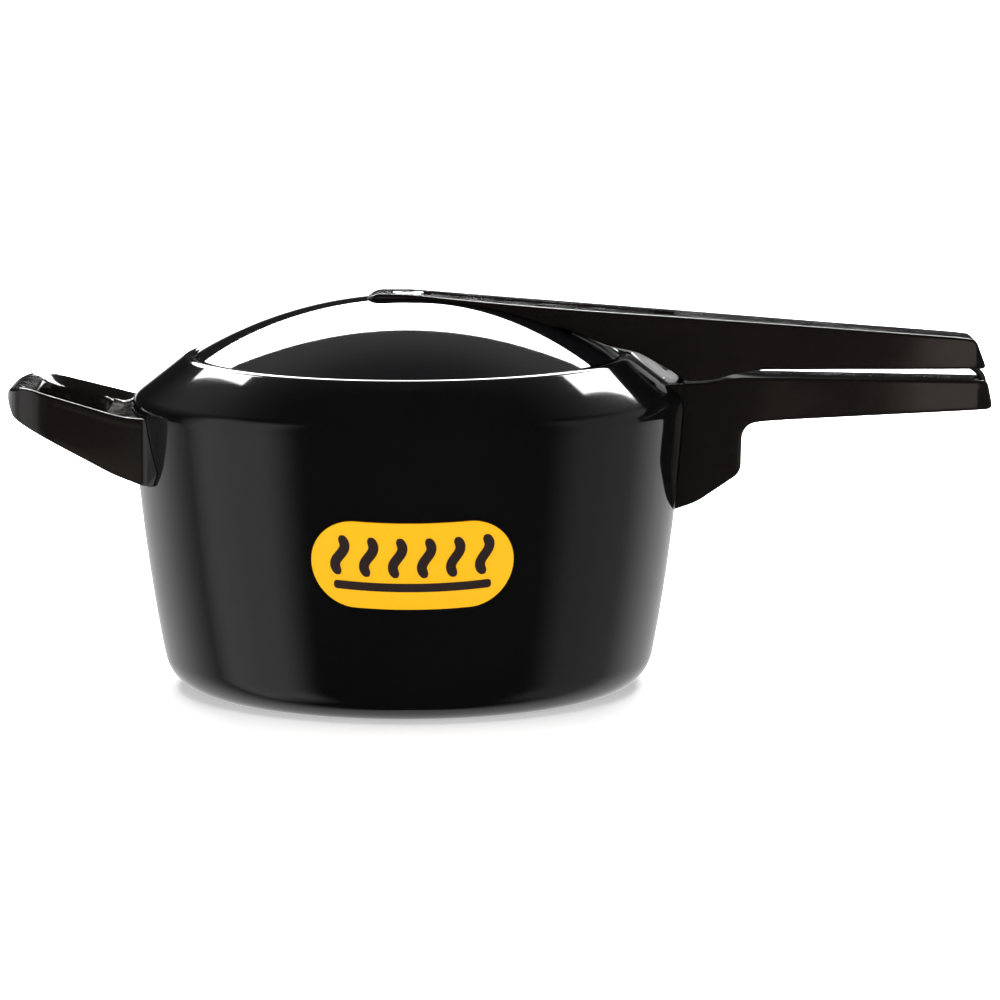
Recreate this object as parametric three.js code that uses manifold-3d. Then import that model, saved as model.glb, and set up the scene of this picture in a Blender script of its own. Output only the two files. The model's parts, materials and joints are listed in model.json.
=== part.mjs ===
// Stovetop pressure cooker: a dark pot with an oval mouth, an inner lid that seals from below,
// a long two-part handle that works as a lever, and a looped helper handle opposite it.
// Millimetres, +Z up, origin at the centre of the pot's base, long handles along +X.
import * as THREE from 'three';
import { mergeVertices } from 'three/addons/utils/BufferGeometryUtils.js';
import Module from 'manifold-3d';

const wasm = await Module();
wasm.setup();

// ---- Clearances -------------------------------------------------------------------------
const GAP = 0.3; // between pieces that touch
const SWING_GAP = 1.7; // between the lid bar and the shoulder it rocks over
const SLIDE_GAP = 0.6; // around pieces that move in a slot
const HEAD_GAP = 0.5; // under a flat rivet head on a curved wall

// ---- Pot --------------------------------------------------------------------------------
const BODY_R = 120.5; // widest outside radius
const POT_HEIGHT = 145; // base to top of the lip
const WALL = 3.25;
const BASE_R = 89.8; // radius of the flat base
const CORNER_R = 17.5; // base corner
const SHOULDER_R = 9;
const SHOULDER_ANGLE = 38; // degrees from level
const LIP_R = 5;
const MOUTH_R = 93.4; // half of the mouth's short axis, along X
const MOUTH_OVAL = 1.06; // long axis over short axis
const WALL_TILT_LOW = 11; // degrees off vertical above the base corner
const WALL_TILT_HIGH = 4; // degrees off vertical below the shoulder

// ---- Lid --------------------------------------------------------------------------------
const DOME_RISE = 25.4; // crown above the lip
const LID_T = 3;
const NECK_GAP = 1.4; // between the lid's neck and the lip
const SEAL_HEIGHT = 5;
const FLANGE_WIDTH = 8.4; // of the rim that carries the seal
const TROUGH_HALF = 11; // pressed recess under the lid handle
const TROUGH_DEPTH = 12.5;

// ---- Lid bar and handles ----------------------------------------------------------------
const BAR_T = 3.6;
const BAR_HALF = 10;
const BAR_TAIL = 64; // reach of the bar inside the handle, past the fulcrum
const KNUCKLE_R = 3.2;
const FULCRUM_INSET = 6; // fulcrum line inside the widest radius
const HANDLE_REACH = 130.9; // lid handle past the widest radius
const LID_HANDLE_TIP = 19; // past the lid's centre
const LID_HANDLE_PROUD = 0.9; // top line above the crown, measured at the lid's centre
const TOP_OVER_LIP = 17.6; // top line above the lip, over the fulcrum
const CROWN_RISE = 1; // extra height of the top line over the crown
const CROWN_REACH = 90;
const LID_HANDLE_END_T = 12.2; // thickness at the far end
const LID_HANDLE_RAISE = 4.07; // underside above the fulcrum line
const HANDLE_SPACE = 4.6; // between the two long handles
const BODY_HANDLE_T = 16.5;
const BODY_FOOT_H = 58.4; // height of the body handle's foot
const BRACKET_H = 44.4;
const BRACKET_T = 2.6;
const BRACKET_HALF = 13;

// ---- Release lever, weight and lock ------------------------------------------------------
const LEVER_T = 3.2;
const LEVER_HALF = 6.4;
const LEVER_END = 107;
const LEVER_PIVOT = 50;
const PIN_R = 1.5;
const NOZZLE_R = 3;
const WEIGHT_R = 6.9;
const LOCK_HALF = 3.6;

// ---- Helper handle and badge --------------------------------------------------------------
const HELPER_REACH = 54; // past the widest radius
const HELPER_HALF = 47; // half width where the foot's wings begin
const HELPER_TIP_HALF = 36;
const HELPER_WING = 18; // the wings' reach towards the pot
const HELPER_WING_HALF = 63.5;
const HELPER_WALL = 7; // side walls of the loop
const HELPER_RIM = 13; // the loop's far end
const HELPER_DISH = 4; // depth of the hollow in the loop's top
const HELPER_FOOT_H = 29;
const BADGE_HALF_WIDTH = 42;
const BADGE_HALF_HEIGHT = 18.6;
const BADGE_X = 3.7;
const BADGE_Z = 69.3;
const BADGE_BEND = 2.2; // rise of the plate's ends, as a straight label lies on a cone
const BADGE_T = 0.8;

const RIVET_R = 2.4;
const RIVET_HEAD_R = 4.4;
const RIVET_HEAD_H = 1.2;
const SCREW_R = 2;
const SCREW_HEAD_R = 4;
const RING_STEPS = 48;
const ROUND_STEPS = 16;
const FINE_STEPS = 12;

const rad = THREE.MathUtils.degToRad;

// ---- Finishes -----------------------------------------------------------------------------
const finish = {
  anodised: new THREE.MeshStandardMaterial({ color: 0x17181a, roughness: 0.34, metalness: 0.8 }),
  lidBlack: new THREE.MeshStandardMaterial({ color: 0x101113, roughness: 0.1, metalness: 0.9 }),
  phenolic: new THREE.MeshStandardMaterial({ color: 0x14110f, roughness: 0.35, metalness: 0 }),
  steel: new THREE.MeshStandardMaterial({ color: 0xc9cbcd, roughness: 0.18, metalness: 1 }),
  brass: new THREE.MeshStandardMaterial({ color: 0xb8923e, roughness: 0.3, metalness: 1 }),
  rubber: new THREE.MeshStandardMaterial({ color: 0x161616, roughness: 0.7, metalness: 0 }),
  yellow: new THREE.MeshStandardMaterial({ color: 0xffb914, roughness: 0.45, metalness: 0 }),
};

// ---- Solid helpers --------------------------------------------------------------------------

/** A closed three.js geometry as a solid that can be joined and cut. */
function solid(geometry) {
  geometry.deleteAttribute('normal');
  geometry.deleteAttribute('uv');
  const merged = mergeVertices(geometry, 1e-4);
  const index = merged.index.array;
  const triangles = [];
  for (let i = 0; i < index.length; i += 3) {
    const [a, b, c] = [index[i], index[i + 1], index[i + 2]];
    if (a !== b && b !== c && c !== a) triangles.push(a, b, c);
  }
  return new wasm.Manifold(new wasm.Mesh({
    numProp: 3,
    vertProperties: Float32Array.from(merged.attributes.position.array),
    triVerts: Uint32Array.from(triangles),
  }));
}

/** A solid as a named mesh. */
function piece(name, body, material) {
  const out = body.getMesh();
  const geometry = new THREE.BufferGeometry();
  geometry.setAttribute('position', new THREE.BufferAttribute(out.vertProperties, 3));
  geometry.setIndex(new THREE.BufferAttribute(out.triVerts, 1));
  geometry.computeVertexNormals();
  const mesh = new THREE.Mesh(geometry, material);
  mesh.name = name;
  return mesh;
}

/** A profile of [radius, height] points turned about Z. */
function turned(points, steps = ROUND_STEPS) {
  const profile = points.map(([r, z]) => new THREE.Vector2(r, z));
  return solid(new THREE.LatheGeometry(profile, steps).rotateX(Math.PI / 2));
}

/** A closed profile of [radius, height] points, clear of the axis, turned about Z. */
function turnedRing(points, steps = ROUND_STEPS) {
  return turned([...points, points[0]], steps);
}

/** An upright cylinder between two heights. */
function cylinder(r, z0, z1, steps = ROUND_STEPS) {
  return turned([[0, z0], [r, z0], [r, z1], [0, z1]], steps);
}

/** A cylinder along Y, centred on the XZ plane. */
function crossPin(r, halfLength, x, z, steps = ROUND_STEPS) {
  const geometry = new THREE.CylinderGeometry(r, r, 2 * halfLength, steps);
  return solid(geometry.translate(x, 0, z));
}

/** An outline whose corners carry fillets: each point is [x, y] or [x, y, fillet]. */
function outline(points) {
  const shape = new THREE.Shape();
  const count = points.length;
  points.forEach(([x, y, fillet = 0], i) => {
    const here = new THREE.Vector2(x, y);
    const before = new THREE.Vector2(...points[(i + count - 1) % count].slice(0, 2));
    const after = new THREE.Vector2(...points[(i + 1) % count].slice(0, 2));
    const reach = Math.min(fillet, 0.48 * here.distanceTo(before), 0.48 * here.distanceTo(after));
    const start = here.clone().add(before.sub(here).setLength(reach));
    const end = here.clone().add(after.sub(here).setLength(reach));
    if (i === 0) shape.moveTo(start.x, start.y);
    else shape.lineTo(start.x, start.y);
    if (reach > 0) shape.quadraticCurveTo(x, y, end.x, end.y);
  });
  shape.closePath();
  return shape;
}

/** A side outline in the XZ plane given a width across Y. */
function fromSide(shape, halfWidth, curveSegments = 4) {
  const geometry = new THREE.ExtrudeGeometry(shape, {
    depth: 2 * halfWidth, bevelEnabled: false, curveSegments,
  });
  return solid(geometry.rotateX(Math.PI / 2).translate(0, halfWidth, 0));
}

/** A plan outline in the XY plane between two heights. */
function fromPlan(shape, z0, z1, curveSegments = 4) {
  const geometry = new THREE.ExtrudeGeometry(shape, {
    depth: z1 - z0, bevelEnabled: false, curveSegments,
  });
  return solid(geometry.translate(0, 0, z0));
}

/** A front outline in the YZ plane between two places along X. */
function fromFront(shape, x0, x1, curveSegments = 4) {
  const geometry = new THREE.ExtrudeGeometry(shape, {
    depth: x1 - x0, bevelEnabled: false, curveSegments,
  });
  return solid(geometry.rotateX(Math.PI / 2).rotateZ(Math.PI / 2).translate(x0, 0, 0));
}

/** A rectangular block between two corners. */
function block([x0, y0, z0], [x1, y1, z1]) {
  const geometry = new THREE.BoxGeometry(x1 - x0, y1 - y0, z1 - z0);
  return solid(geometry.translate((x0 + x1) / 2, (y0 + y1) / 2, (z0 + z1) / 2));
}

/** A strip along a line of [x, z] points, from one offset above the line to another. */
function ribbon(points, below, above) {
  const line = points.map(([x, z]) => new THREE.Vector2(x, z));
  const normals = line.map((point, i) => {
    const ahead = line[Math.min(i + 1, line.length - 1)];
    const behind = line[Math.max(i - 1, 0)];
    const along = ahead.clone().sub(behind).normalize();
    return new THREE.Vector2(-along.y, along.x);
  });
  const shift = (offset) => line.map((p, i) => p.clone().addScaledVector(normals[i], offset));
  return new THREE.Shape([...shift(below), ...shift(above).reverse()]);
}

/** The placement that puts a piece made about Z at a point, with its axis along a direction. */
function placed(body, point, direction) {
  const turn = new THREE.Quaternion().setFromUnitVectors(
    new THREE.Vector3(0, 0, 1), direction.clone().normalize());
  const matrix = new THREE.Matrix4().compose(point, turn, new THREE.Vector3(1, 1, 1));
  return body.transform(matrix.elements);
}

/** A rivet about Z: its outer head sits on height 0 and it grips the given thickness below. */
function rivetBody(grip) {
  const low = -grip - HEAD_GAP;
  return turned([
    [0, low - RIVET_HEAD_H], [0.6 * RIVET_HEAD_R, low - RIVET_HEAD_H], [RIVET_HEAD_R, low],
    [RIVET_R, low], [RIVET_R, HEAD_GAP], [RIVET_HEAD_R, HEAD_GAP],
    [0.6 * RIVET_HEAD_R, HEAD_GAP + RIVET_HEAD_H], [0, HEAD_GAP + RIVET_HEAD_H],
  ], FINE_STEPS);
}

/** The hole that a rivet of the same grip passes through. */
function rivetHole(grip) {
  return cylinder(RIVET_R + GAP, -grip - 2, 2, FINE_STEPS);
}

/** The room that a rivet's outer head needs in a piece that covers it. */
function rivetPocket() {
  return cylinder(RIVET_HEAD_R + GAP, -GAP, RIVET_HEAD_H + HEAD_GAP + GAP, FINE_STEPS);
}

/** A countersunk screw about Z, head down at height 0 and point up. */
function screwBody(length) {
  return turned([
    [0, 0.8], [1.4, 0.8], [1.4, 0], [SCREW_HEAD_R - 0.6, 0], [SCREW_HEAD_R, 0.6],
    [SCREW_HEAD_R, 2.4], [SCREW_R, 2.4], [SCREW_R, length - 1], [SCREW_R - 0.8, length],
    [0, length],
  ], FINE_STEPS);
}

/** The stepped hole for that screw, open below. */
function screwHole(length) {
  return turned([
    [0, -20], [SCREW_HEAD_R + GAP, -20], [SCREW_HEAD_R + GAP, 2.4 + GAP],
    [SCREW_R + GAP, 2.4 + GAP], [SCREW_R + GAP, length + GAP], [0, length + GAP],
  ], FINE_STEPS);
}

// ---- Pot curves -----------------------------------------------------------------------------
const lipTopR = MOUTH_R + WALL / 2;
const slope = rad(SHOULDER_ANGLE);
const coneTopR = lipTopR + LIP_R * Math.sin(slope);
const coneTopZ = POT_HEIGHT - LIP_R * (1 - Math.cos(slope));
const shoulderCentreR = BODY_R - SHOULDER_R;
const coneLowR = shoulderCentreR + SHOULDER_R * Math.sin(slope);
const coneLowZ = coneTopZ - (coneLowR - coneTopR) * Math.tan(slope);
const shoulderCentreZ = coneLowZ - SHOULDER_R * Math.cos(slope);

/** The pot's outside curve moved inwards, from the axis at the base to the crest of the lip. */
function potCurve(inset) {
  const low = rad(WALL_TILT_LOW);
  const high = rad(WALL_TILT_HIGH);
  const cornerR = CORNER_R - inset;
  const shoulderR = SHOULDER_R - inset;
  const start = new THREE.Vector2(BASE_R + cornerR * Math.cos(low), CORNER_R - cornerR * Math.sin(low));
  const end = new THREE.Vector2(
    shoulderCentreR + shoulderR * Math.cos(high), shoulderCentreZ - shoulderR * Math.sin(high));
  const third = start.distanceTo(end) / 3;
  const path = new THREE.Path();
  path.moveTo(0, inset);
  path.lineTo(BASE_R, inset);
  path.absarc(BASE_R, CORNER_R, cornerR, -Math.PI / 2, -low);
  path.bezierCurveTo(
    start.x + third * Math.sin(low), start.y + third * Math.cos(low),
    end.x - third * Math.sin(high), end.y - third * Math.cos(high), end.x, end.y);
  path.absarc(shoulderCentreR, shoulderCentreZ, shoulderR, -high, Math.PI / 2 - slope);
  path.absarc(lipTopR, POT_HEIGHT - LIP_R, LIP_R - inset, Math.PI / 2 - slope, Math.PI / 2);
  return path.getPoints(2).map((point) => [point.x, point.y]);
}

/** The rounded edge of the mouth, from the crest of the lip round to its underside. */
function lipEdge() {
  const edge = new THREE.Path();
  edge.absarc(lipTopR, POT_HEIGHT - WALL / 2, WALL / 2, Math.PI / 2, 1.5 * Math.PI);
  return edge.getPoints(3).slice(1, -1).map((point) => [point.x, point.y]);
}

/** The wall's outside radius and lean at a height, for pieces that sit on it. */
function wallAt(z) {
  const curve = potCurve(0);
  const i = curve.findIndex(([, height], k) => k > 1 && height >= z);
  const [r0, z0] = curve[i - 1];
  const [r1, z1] = curve[i];
  return { r: r0 + (r1 - r0) * (z - z0) / (z1 - z0), lean: Math.atan2(r1 - r0, z1 - z0) };
}

/** The outward normal of the wall at a height, towards +X or -X. */
function wallNormal(z, side) {
  const { lean } = wallAt(z);
  return new THREE.Vector3(side * Math.cos(lean), 0, -Math.sin(lean));
}

/** Round sections grow into an oval from the shoulder up to the lip. */
function toOval(body) {
  return body.warp((vertex) => {
    const t = THREE.MathUtils.smoothstep(vertex[2], shoulderCentreZ, POT_HEIGHT);
    vertex[1] *= 1 + (MOUTH_OVAL - 1) * t;
  });
}

/** The pot's outside grown by a clearance and filled in. */
function potFilled(clearance) {
  const curve = potCurve(-clearance);
  return toOval(turned([...curve, [0, POT_HEIGHT + clearance]], RING_STEPS));
}

/** A shell of the pot's wall between two clearances outside it. */
function potSkin(near, far) {
  return potFilled(far).subtract(potFilled(near));
}

// ---- Lid curves -----------------------------------------------------------------------------
const neckR = MOUTH_R - NECK_GAP;
const domeR = (neckR ** 2 + DOME_RISE ** 2) / (2 * DOME_RISE);
const domeTopZ = POT_HEIGHT + DOME_RISE;
const domeCentreZ = domeTopZ - domeR;
const coneUnder = (r) => POT_HEIGHT - LIP_R + (LIP_R - WALL) / Math.cos(slope)
  - (r - lipTopR) * Math.tan(slope);
const sealTopZ = POT_HEIGHT - WALL - GAP;
const sealLowZ = sealTopZ - SEAL_HEIGHT;
const flangeZ = sealLowZ - GAP;
const troughZ = domeTopZ - TROUGH_DEPTH;
const troughEndX = Math.sqrt(domeR ** 2 - (troughZ - domeCentreZ) ** 2);

/** Height of the dome's outside over a point of its long section. */
function domeZ(x, y = 0) {
  const across = y / MOUTH_OVAL;
  return domeCentreZ + Math.sqrt(domeR ** 2 - x ** 2 - across ** 2);
}

/** Points down a dome of one radius, from the crown to where it meets the neck. */
function domeCurve(radius, outerR) {
  const steps = 8;
  const sweep = Math.asin(outerR / radius);
  return Array.from({ length: steps + 1 }, (_, i) => {
    const angle = sweep * i / steps;
    return [radius * Math.sin(angle), domeCentreZ + radius * Math.cos(angle)];
  });
}

/** The pressed recess under the handle, grown sideways and downwards by a margin. */
function trough(margin) {
  const half = TROUGH_HALF + margin;
  const plan = new THREE.Shape();
  plan.absarc(0, 0, half, Math.PI / 2, 1.5 * Math.PI);
  plan.lineTo(troughEndX + 20, -half);
  plan.lineTo(troughEndX + 20, half);
  return fromPlan(plan, troughZ - margin, domeTopZ + 20, 8);
}

/** Everything under the lid's outside, grown by a clearance, with the recess left open. */
function lidFilled(clearance) {
  const dome = domeCurve(domeR + clearance, neckR + clearance);
  const filled = turned([[0, flangeZ], [neckR + clearance, flangeZ], ...dome.reverse()], RING_STEPS);
  return toOval(filled).subtract(trough(-clearance));
}

// ---- Key points of the handles ---------------------------------------------------------------
const coneZ = (r) => coneTopZ - (r - coneTopR) * Math.tan(slope);
const fulcrumX = BODY_R - FULCRUM_INSET;
const fulcrum = { x: fulcrumX, z: coneZ(fulcrumX) + (KNUCKLE_R + SLIDE_GAP) / Math.cos(slope) };
const handleEndX = BODY_R + HANDLE_REACH;
const lidHandleUnder = fulcrum.z + LID_HANDLE_RAISE;
const bodyHandleTop = lidHandleUnder - HANDLE_SPACE;
const topStart = domeTopZ + LID_HANDLE_PROUD;
const topMiddle = POT_HEIGHT + TOP_OVER_LIP;
const topEnd = lidHandleUnder + LID_HANDLE_END_T;

/** The lid handle's top line: two straight stretches that meet over the fulcrum, and a low crown. */
function topZ(x) {
  const crown = CROWN_RISE * Math.max(0, 1 - x / CROWN_REACH) ** 2;
  if (x < fulcrum.x) return THREE.MathUtils.lerp(topStart, topMiddle, x / fulcrum.x) + crown;
  return THREE.MathUtils.lerp(topMiddle, topEnd, (x - fulcrum.x) / (handleEndX - fulcrum.x));
}
const leverPin = { x: LEVER_PIVOT, z: topZ(LEVER_PIVOT) - 0.5 - LEVER_T };
const lockPin = { x: handleEndX - 11, z: lidHandleUnder + 4.8 };
const barStartX = troughEndX + 5.6;

/** The underside of the lid bar: on the dome, over the lip, down the shoulder, into the handle. */
function barLine(startMargin = 0, endMargin = 0) {
  const clear = SWING_GAP / Math.cos(slope);
  const overLip = POT_HEIGHT + SWING_GAP;
  const lastX = fulcrum.x + BAR_TAIL + endMargin;
  return [
    [barStartX - startMargin, domeZ(barStartX) + GAP],
    [lipTopR - 11, domeZ(lipTopR - 11) + GAP],
    [lipTopR - 2, overLip + 0.4],
    [coneTopR - 0.5, overLip - 0.4],
    [coneTopR + 4, coneZ(coneTopR + 4) + clear],
    [fulcrum.x - 4, coneZ(fulcrum.x - 4) + clear],
    [fulcrum.x + 1.5, fulcrum.z],
    [fulcrum.x + 6, fulcrum.z + 1.5],
    [fulcrum.x + 22, fulcrum.z + 7.5],
    [lastX, fulcrum.z + 9.5],
  ];
}

const barRivetX = barStartX + 8;
const barRivetY = [-5.2, 5.2];
const barRivetGrip = LID_T + GAP + BAR_T;

/** Place of a rivet through the bar and the lid. */
function onBar(body, y) {
  const normal = new THREE.Vector3(barRivetX / domeR, 0, Math.sqrt(1 - (barRivetX / domeR) ** 2));
  const surface = new THREE.Vector3(barRivetX, y, domeZ(barRivetX));
  return placed(body, surface.addScaledVector(normal, GAP + BAR_T), normal);
}

const bracketTopZ = fulcrum.z - KNUCKLE_R - GAP;
const bracketLowZ = bracketTopZ - BRACKET_H;
const bracketRivetZ = [bracketLowZ + 9, bracketLowZ + 26];
const tongueZ = bodyHandleTop - 8.5;
const tongueEndX = BODY_R + 62;
const bodyScrewX = [BODY_R + 37, BODY_R + 53];
const bodyScrewLength = 12;
const wallRivetGrip = WALL + GAP + BRACKET_T;

/** Place of a rivet through a bracket and the pot's wall, on the +X or -X side. */
function onWall(body, z, side, y = 0) {
  const { r } = wallAt(z);
  const normal = wallNormal(z, side);
  const point = new THREE.Vector3(side * r, 0, z).addScaledVector(normal, GAP + BRACKET_T);
  const turn = new THREE.Matrix4().makeRotationZ(Math.asin(y / r) * side);
  return placed(body, point, normal).transform(turn.elements);
}

// ---- Pot and its badge -----------------------------------------------------------------------

function potBody() {
  const inner = potCurve(WALL).reverse();
  let body = toOval(turned([...potCurve(0), ...lipEdge(), ...inner], RING_STEPS));
  for (const z of bracketRivetZ) body = body.subtract(onWall(rivetHole(wallRivetGrip), z, 1));
  for (const y of helperRivetY) {
    body = body.subtract(onWall(rivetHole(wallRivetGrip), helperRivetZ, -1, y));
  }
  return piece('pot_body', body, finish.anodised);
}

/** A thin plate with round ends that follows the front of the wall. */
function badge() {
  const flat = new THREE.Shape();
  const straight = BADGE_HALF_WIDTH - BADGE_HALF_HEIGHT;
  for (const x of [-0.5, 0, 0.5]) flat.lineTo(x * straight, -BADGE_HALF_HEIGHT);
  flat.absarc(straight, 0, BADGE_HALF_HEIGHT, -Math.PI / 2, Math.PI / 2);
  for (const x of [0.5, 0, -0.5]) flat.lineTo(x * straight, BADGE_HALF_HEIGHT);
  flat.absarc(-straight, 0, BADGE_HALF_HEIGHT, Math.PI / 2, 1.5 * Math.PI);
  const bent = flat.getPoints(8).slice(1).map(({ x, y }) => new THREE.Vector2(
    BADGE_X + x, BADGE_Z + y + BADGE_BEND * (x / BADGE_HALF_WIDTH) ** 2,
  ));
  const geometry = new THREE.ExtrudeGeometry(new THREE.Shape(bent), {
    depth: BODY_R, bevelEnabled: false,
  });
  const window = solid(geometry.rotateX(Math.PI / 2));
  return piece('badge_plate', potSkin(GAP, GAP + BADGE_T).intersect(window), finish.yellow);
}

// ---- Body bracket, body handle ----------------------------------------------------------------

/** The bracket's plate on the wall, with a margin all round for the pocket it fits. */
function bracketPlate(margin) {
  const skin = potSkin(GAP - margin, GAP + BRACKET_T + margin);
  const half = BRACKET_HALF + margin;
  const low = [BODY_R - 20, -half, bracketLowZ - margin];
  const high = [BODY_R + 10, half, bracketTopZ + margin];
  return skin.intersect(block(low, high));
}

/** The bracket's tongue, which the body handle is screwed to. */
function bracketTongue(margin) {
  const start = wallAt(tongueZ - 4).r + GAP + 0.5;
  const half = 0.7 * BRACKET_HALF + margin;
  return block([start, -half, tongueZ - BRACKET_T / 2 - margin],
    [tongueEndX + margin, half, tongueZ + BRACKET_T / 2 + margin]);
}

/** Place of a screw up through the body handle into the tongue. */
function onTongue(body, x) {
  return placed(body, new THREE.Vector3(x, 0, tongueZ + 3 - bodyScrewLength),
    new THREE.Vector3(0, 0, 1));
}

function bodyBracket() {
  let body = bracketPlate(0).add(bracketTongue(0));
  for (const z of bracketRivetZ) body = body.subtract(onWall(rivetHole(wallRivetGrip), z, 1));
  for (const x of bodyScrewX) body = body.subtract(onTongue(screwHole(bodyScrewLength), x));
  return piece('body_bracket', body, finish.steel);
}

/** Half widths along the two long handles, joined by a smooth curve. */
function handlePlan(stations) {
  const side = new THREE.SplineCurve(stations.map(([x, half]) => new THREE.Vector2(x, half)));
  const near = side.getPoints(3 * (stations.length - 1));
  const far = near.map((point) => new THREE.Vector2(point.x, -point.y)).reverse();
  return new THREE.Shape([...near, ...far]);
}

function bodyHandle() {
  const end = handleEndX;
  const underZ = bodyHandleTop - BODY_HANDLE_T;
  const footZ = bodyHandleTop - BODY_FOOT_H;
  const side = outline([
    [BODY_R - 12, bodyHandleTop - 2.6], [BODY_R + 8, bodyHandleTop - 2, 4],
    [BODY_R + 22, bodyHandleTop + 0.6, 5], [end + 0.4, bodyHandleTop - 1.2, 3],
    [end + 3.2, bodyHandleTop - 13.8, 3.4], [BODY_R + 40, underZ - 1.8, 4],
    [BODY_R + 24.6, underZ - 3, 12], [BODY_R + 24.2, footZ + 17.5, 3],
    [BODY_R + 5, footZ + 4.5, 3], [BODY_R - 12, footZ - 2],
  ]);
  const plan = handlePlan([
    [BODY_R - 20, 16.5], [BODY_R + 20, 16.5], [BODY_R + 55, 14.8], [end - 12, 13],
    [end - 1, 11.8], [end + 3.6, 8.5],
  ]);
  const notch = block([end - 4.4, -LOCK_HALF - SLIDE_GAP, bodyHandleTop - 10],
    [end + 10, LOCK_HALF + SLIDE_GAP, bodyHandleTop + 5]);
  const bracketHalf = BRACKET_HALF + GAP;
  const knuckleRoom = block([BODY_R - 20, -bracketHalf, bracketTopZ - 1],
    [BODY_R, bracketHalf, POT_HEIGHT]);
  let body = fromSide(side, 20).intersect(fromPlan(plan, 0, POT_HEIGHT))
    .subtract(potFilled(GAP)).subtract(bracketPlate(GAP)).subtract(bracketTongue(GAP))
    .subtract(notch).subtract(knuckleRoom);
  for (const z of bracketRivetZ) body = body.subtract(onWall(rivetPocket(), z, 1));
  for (const x of bodyScrewX) body = body.subtract(onTongue(screwHole(bodyScrewLength), x));
  return piece('body_handle', body, finish.phenolic);
}

// ---- Helper handle ----------------------------------------------------------------------------
const helperTopZ = shoulderCentreZ;
const helperLowZ = helperTopZ - HELPER_FOOT_H;
const helperRivetZ = (helperTopZ + helperLowZ) / 2;
const helperRivetY = [-19, 19];
const helperTipX = -(BODY_R + HELPER_REACH);
const helperCreaseX = -(BODY_R - 7);
const helperHoleNear = -(BODY_R + 11);
const helperScrewLength = 12;

/** The helper bracket's plate, with a margin all round for the pocket it fits. */
function helperPlate(margin) {
  const half = 27 + margin;
  const low = [-BODY_R - 10, -half, helperRivetZ - 9 - margin];
  const high = [-BODY_R + 30, half, helperRivetZ + 9 + margin];
  return potSkin(GAP - margin, GAP + BRACKET_T + margin).intersect(block(low, high));
}

/** Place of the screw that holds the helper handle, its head in the finger opening. */
function onHelperFoot(body) {
  const { r } = wallAt(helperRivetZ);
  return placed(body, new THREE.Vector3(-(r + HEAD_GAP + helperScrewLength), 0, helperRivetZ),
    new THREE.Vector3(1, 0, 0));
}

function helperBracket() {
  let body = helperPlate(0).subtract(onHelperFoot(screwHole(helperScrewLength)));
  for (const y of helperRivetY) {
    body = body.subtract(onWall(rivetHole(wallRivetGrip), helperRivetZ, -1, y));
  }
  return piece('helper_bracket', body, finish.steel);
}

/** Half width of the helper handle over a point of its length. */
function helperHalf(x) {
  return THREE.MathUtils.mapLinear(x, helperTipX, helperCreaseX, HELPER_TIP_HALF, HELPER_HALF);
}

/** The hollow in the top of the loop, inside its side walls. */
function helperDish() {
  const tip = helperTipX;
  const floor = outline([
    [-BODY_R + 1, helperTopZ + 4], [-BODY_R - 3, helperTopZ - 0.4, 2],
    [-BODY_R - 11, helperTopZ - 0.6, 3], [tip + 9, helperTopZ + 11.4 - HELPER_DISH, 3],
    [tip + 5, helperTopZ + 16], [-BODY_R + 1, helperTopZ + 20],
  ]);
  const half = (x) => helperHalf(x) - 0.6 * HELPER_WALL;
  const plan = outline([
    [-BODY_R + 1, -half(-BODY_R)], [tip + 5, -half(tip + 5), 22],
    [tip + 5, half(tip + 5), 22], [-BODY_R + 1, half(-BODY_R)],
  ]);
  return fromSide(floor, HELPER_HALF).intersect(fromPlan(plan, 0, POT_HEIGHT, 6));
}

/** A flared loop: three outlines in common, with the finger opening and the hollow cut out. */
function helperHandle() {
  const tip = helperTipX;
  const foot = -(BODY_R - 24);
  const side = outline([
    [foot, helperTopZ - 1], [-BODY_R - 1, helperTopZ, 6], [tip + 10, helperTopZ + 11.6, 5],
    [tip - 0.3, helperTopZ + 9, 4], [tip + 2.6, helperTopZ - 1, 5],
    [-BODY_R - 10, helperLowZ + 4, 6], [-BODY_R + 3, helperLowZ - 0.5], [foot, helperLowZ - 0.5],
  ]);
  const wingX = helperCreaseX + HELPER_WING;
  const wingHalf = HELPER_HALF + 1.2 * HELPER_WING;
  const plan = outline([
    [wingX, -wingHalf], [helperCreaseX, -HELPER_HALF, 2], [tip, -HELPER_TIP_HALF, 26],
    [tip, HELPER_TIP_HALF, 26], [helperCreaseX, HELPER_HALF, 2], [wingX, wingHalf],
  ]);
  const front = outline([
    [-HELPER_HALF, helperLowZ - 1], [-HELPER_HALF - 7.5, helperLowZ + 7, 2],
    [-HELPER_WING_HALF, POT_HEIGHT], [HELPER_WING_HALF, POT_HEIGHT],
    [HELPER_HALF + 7.5, helperLowZ + 7, 2], [HELPER_HALF, helperLowZ - 1],
  ]);
  const half = (x) => helperHalf(x) - HELPER_WALL;
  const rimX = tip + HELPER_RIM;
  const hole = outline([
    [helperHoleNear, -half(helperHoleNear), 7], [helperHoleNear, half(helperHoleNear), 7],
    [rimX, half(rimX), 13], [rimX, -half(rimX), 13],
  ]);
  let body = fromSide(side, wingHalf).intersect(fromPlan(plan, 0, POT_HEIGHT, 6))
    .intersect(fromFront(front, tip - 5, foot)).subtract(helperDish())
    .subtract(fromPlan(hole, 0, POT_HEIGHT, 5)).subtract(potFilled(GAP))
    .subtract(helperPlate(GAP)).subtract(onHelperFoot(screwHole(helperScrewLength)));
  for (const y of helperRivetY) {
    body = body.subtract(onWall(rivetPocket(), helperRivetZ, -1, y));
  }
  return piece('helper_handle', body, finish.phenolic);
}

// ---- Lid, seal, bar -----------------------------------------------------------------------------
const valvePlace = { x: 20, y: 62 };
const valveR = 4;

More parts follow.
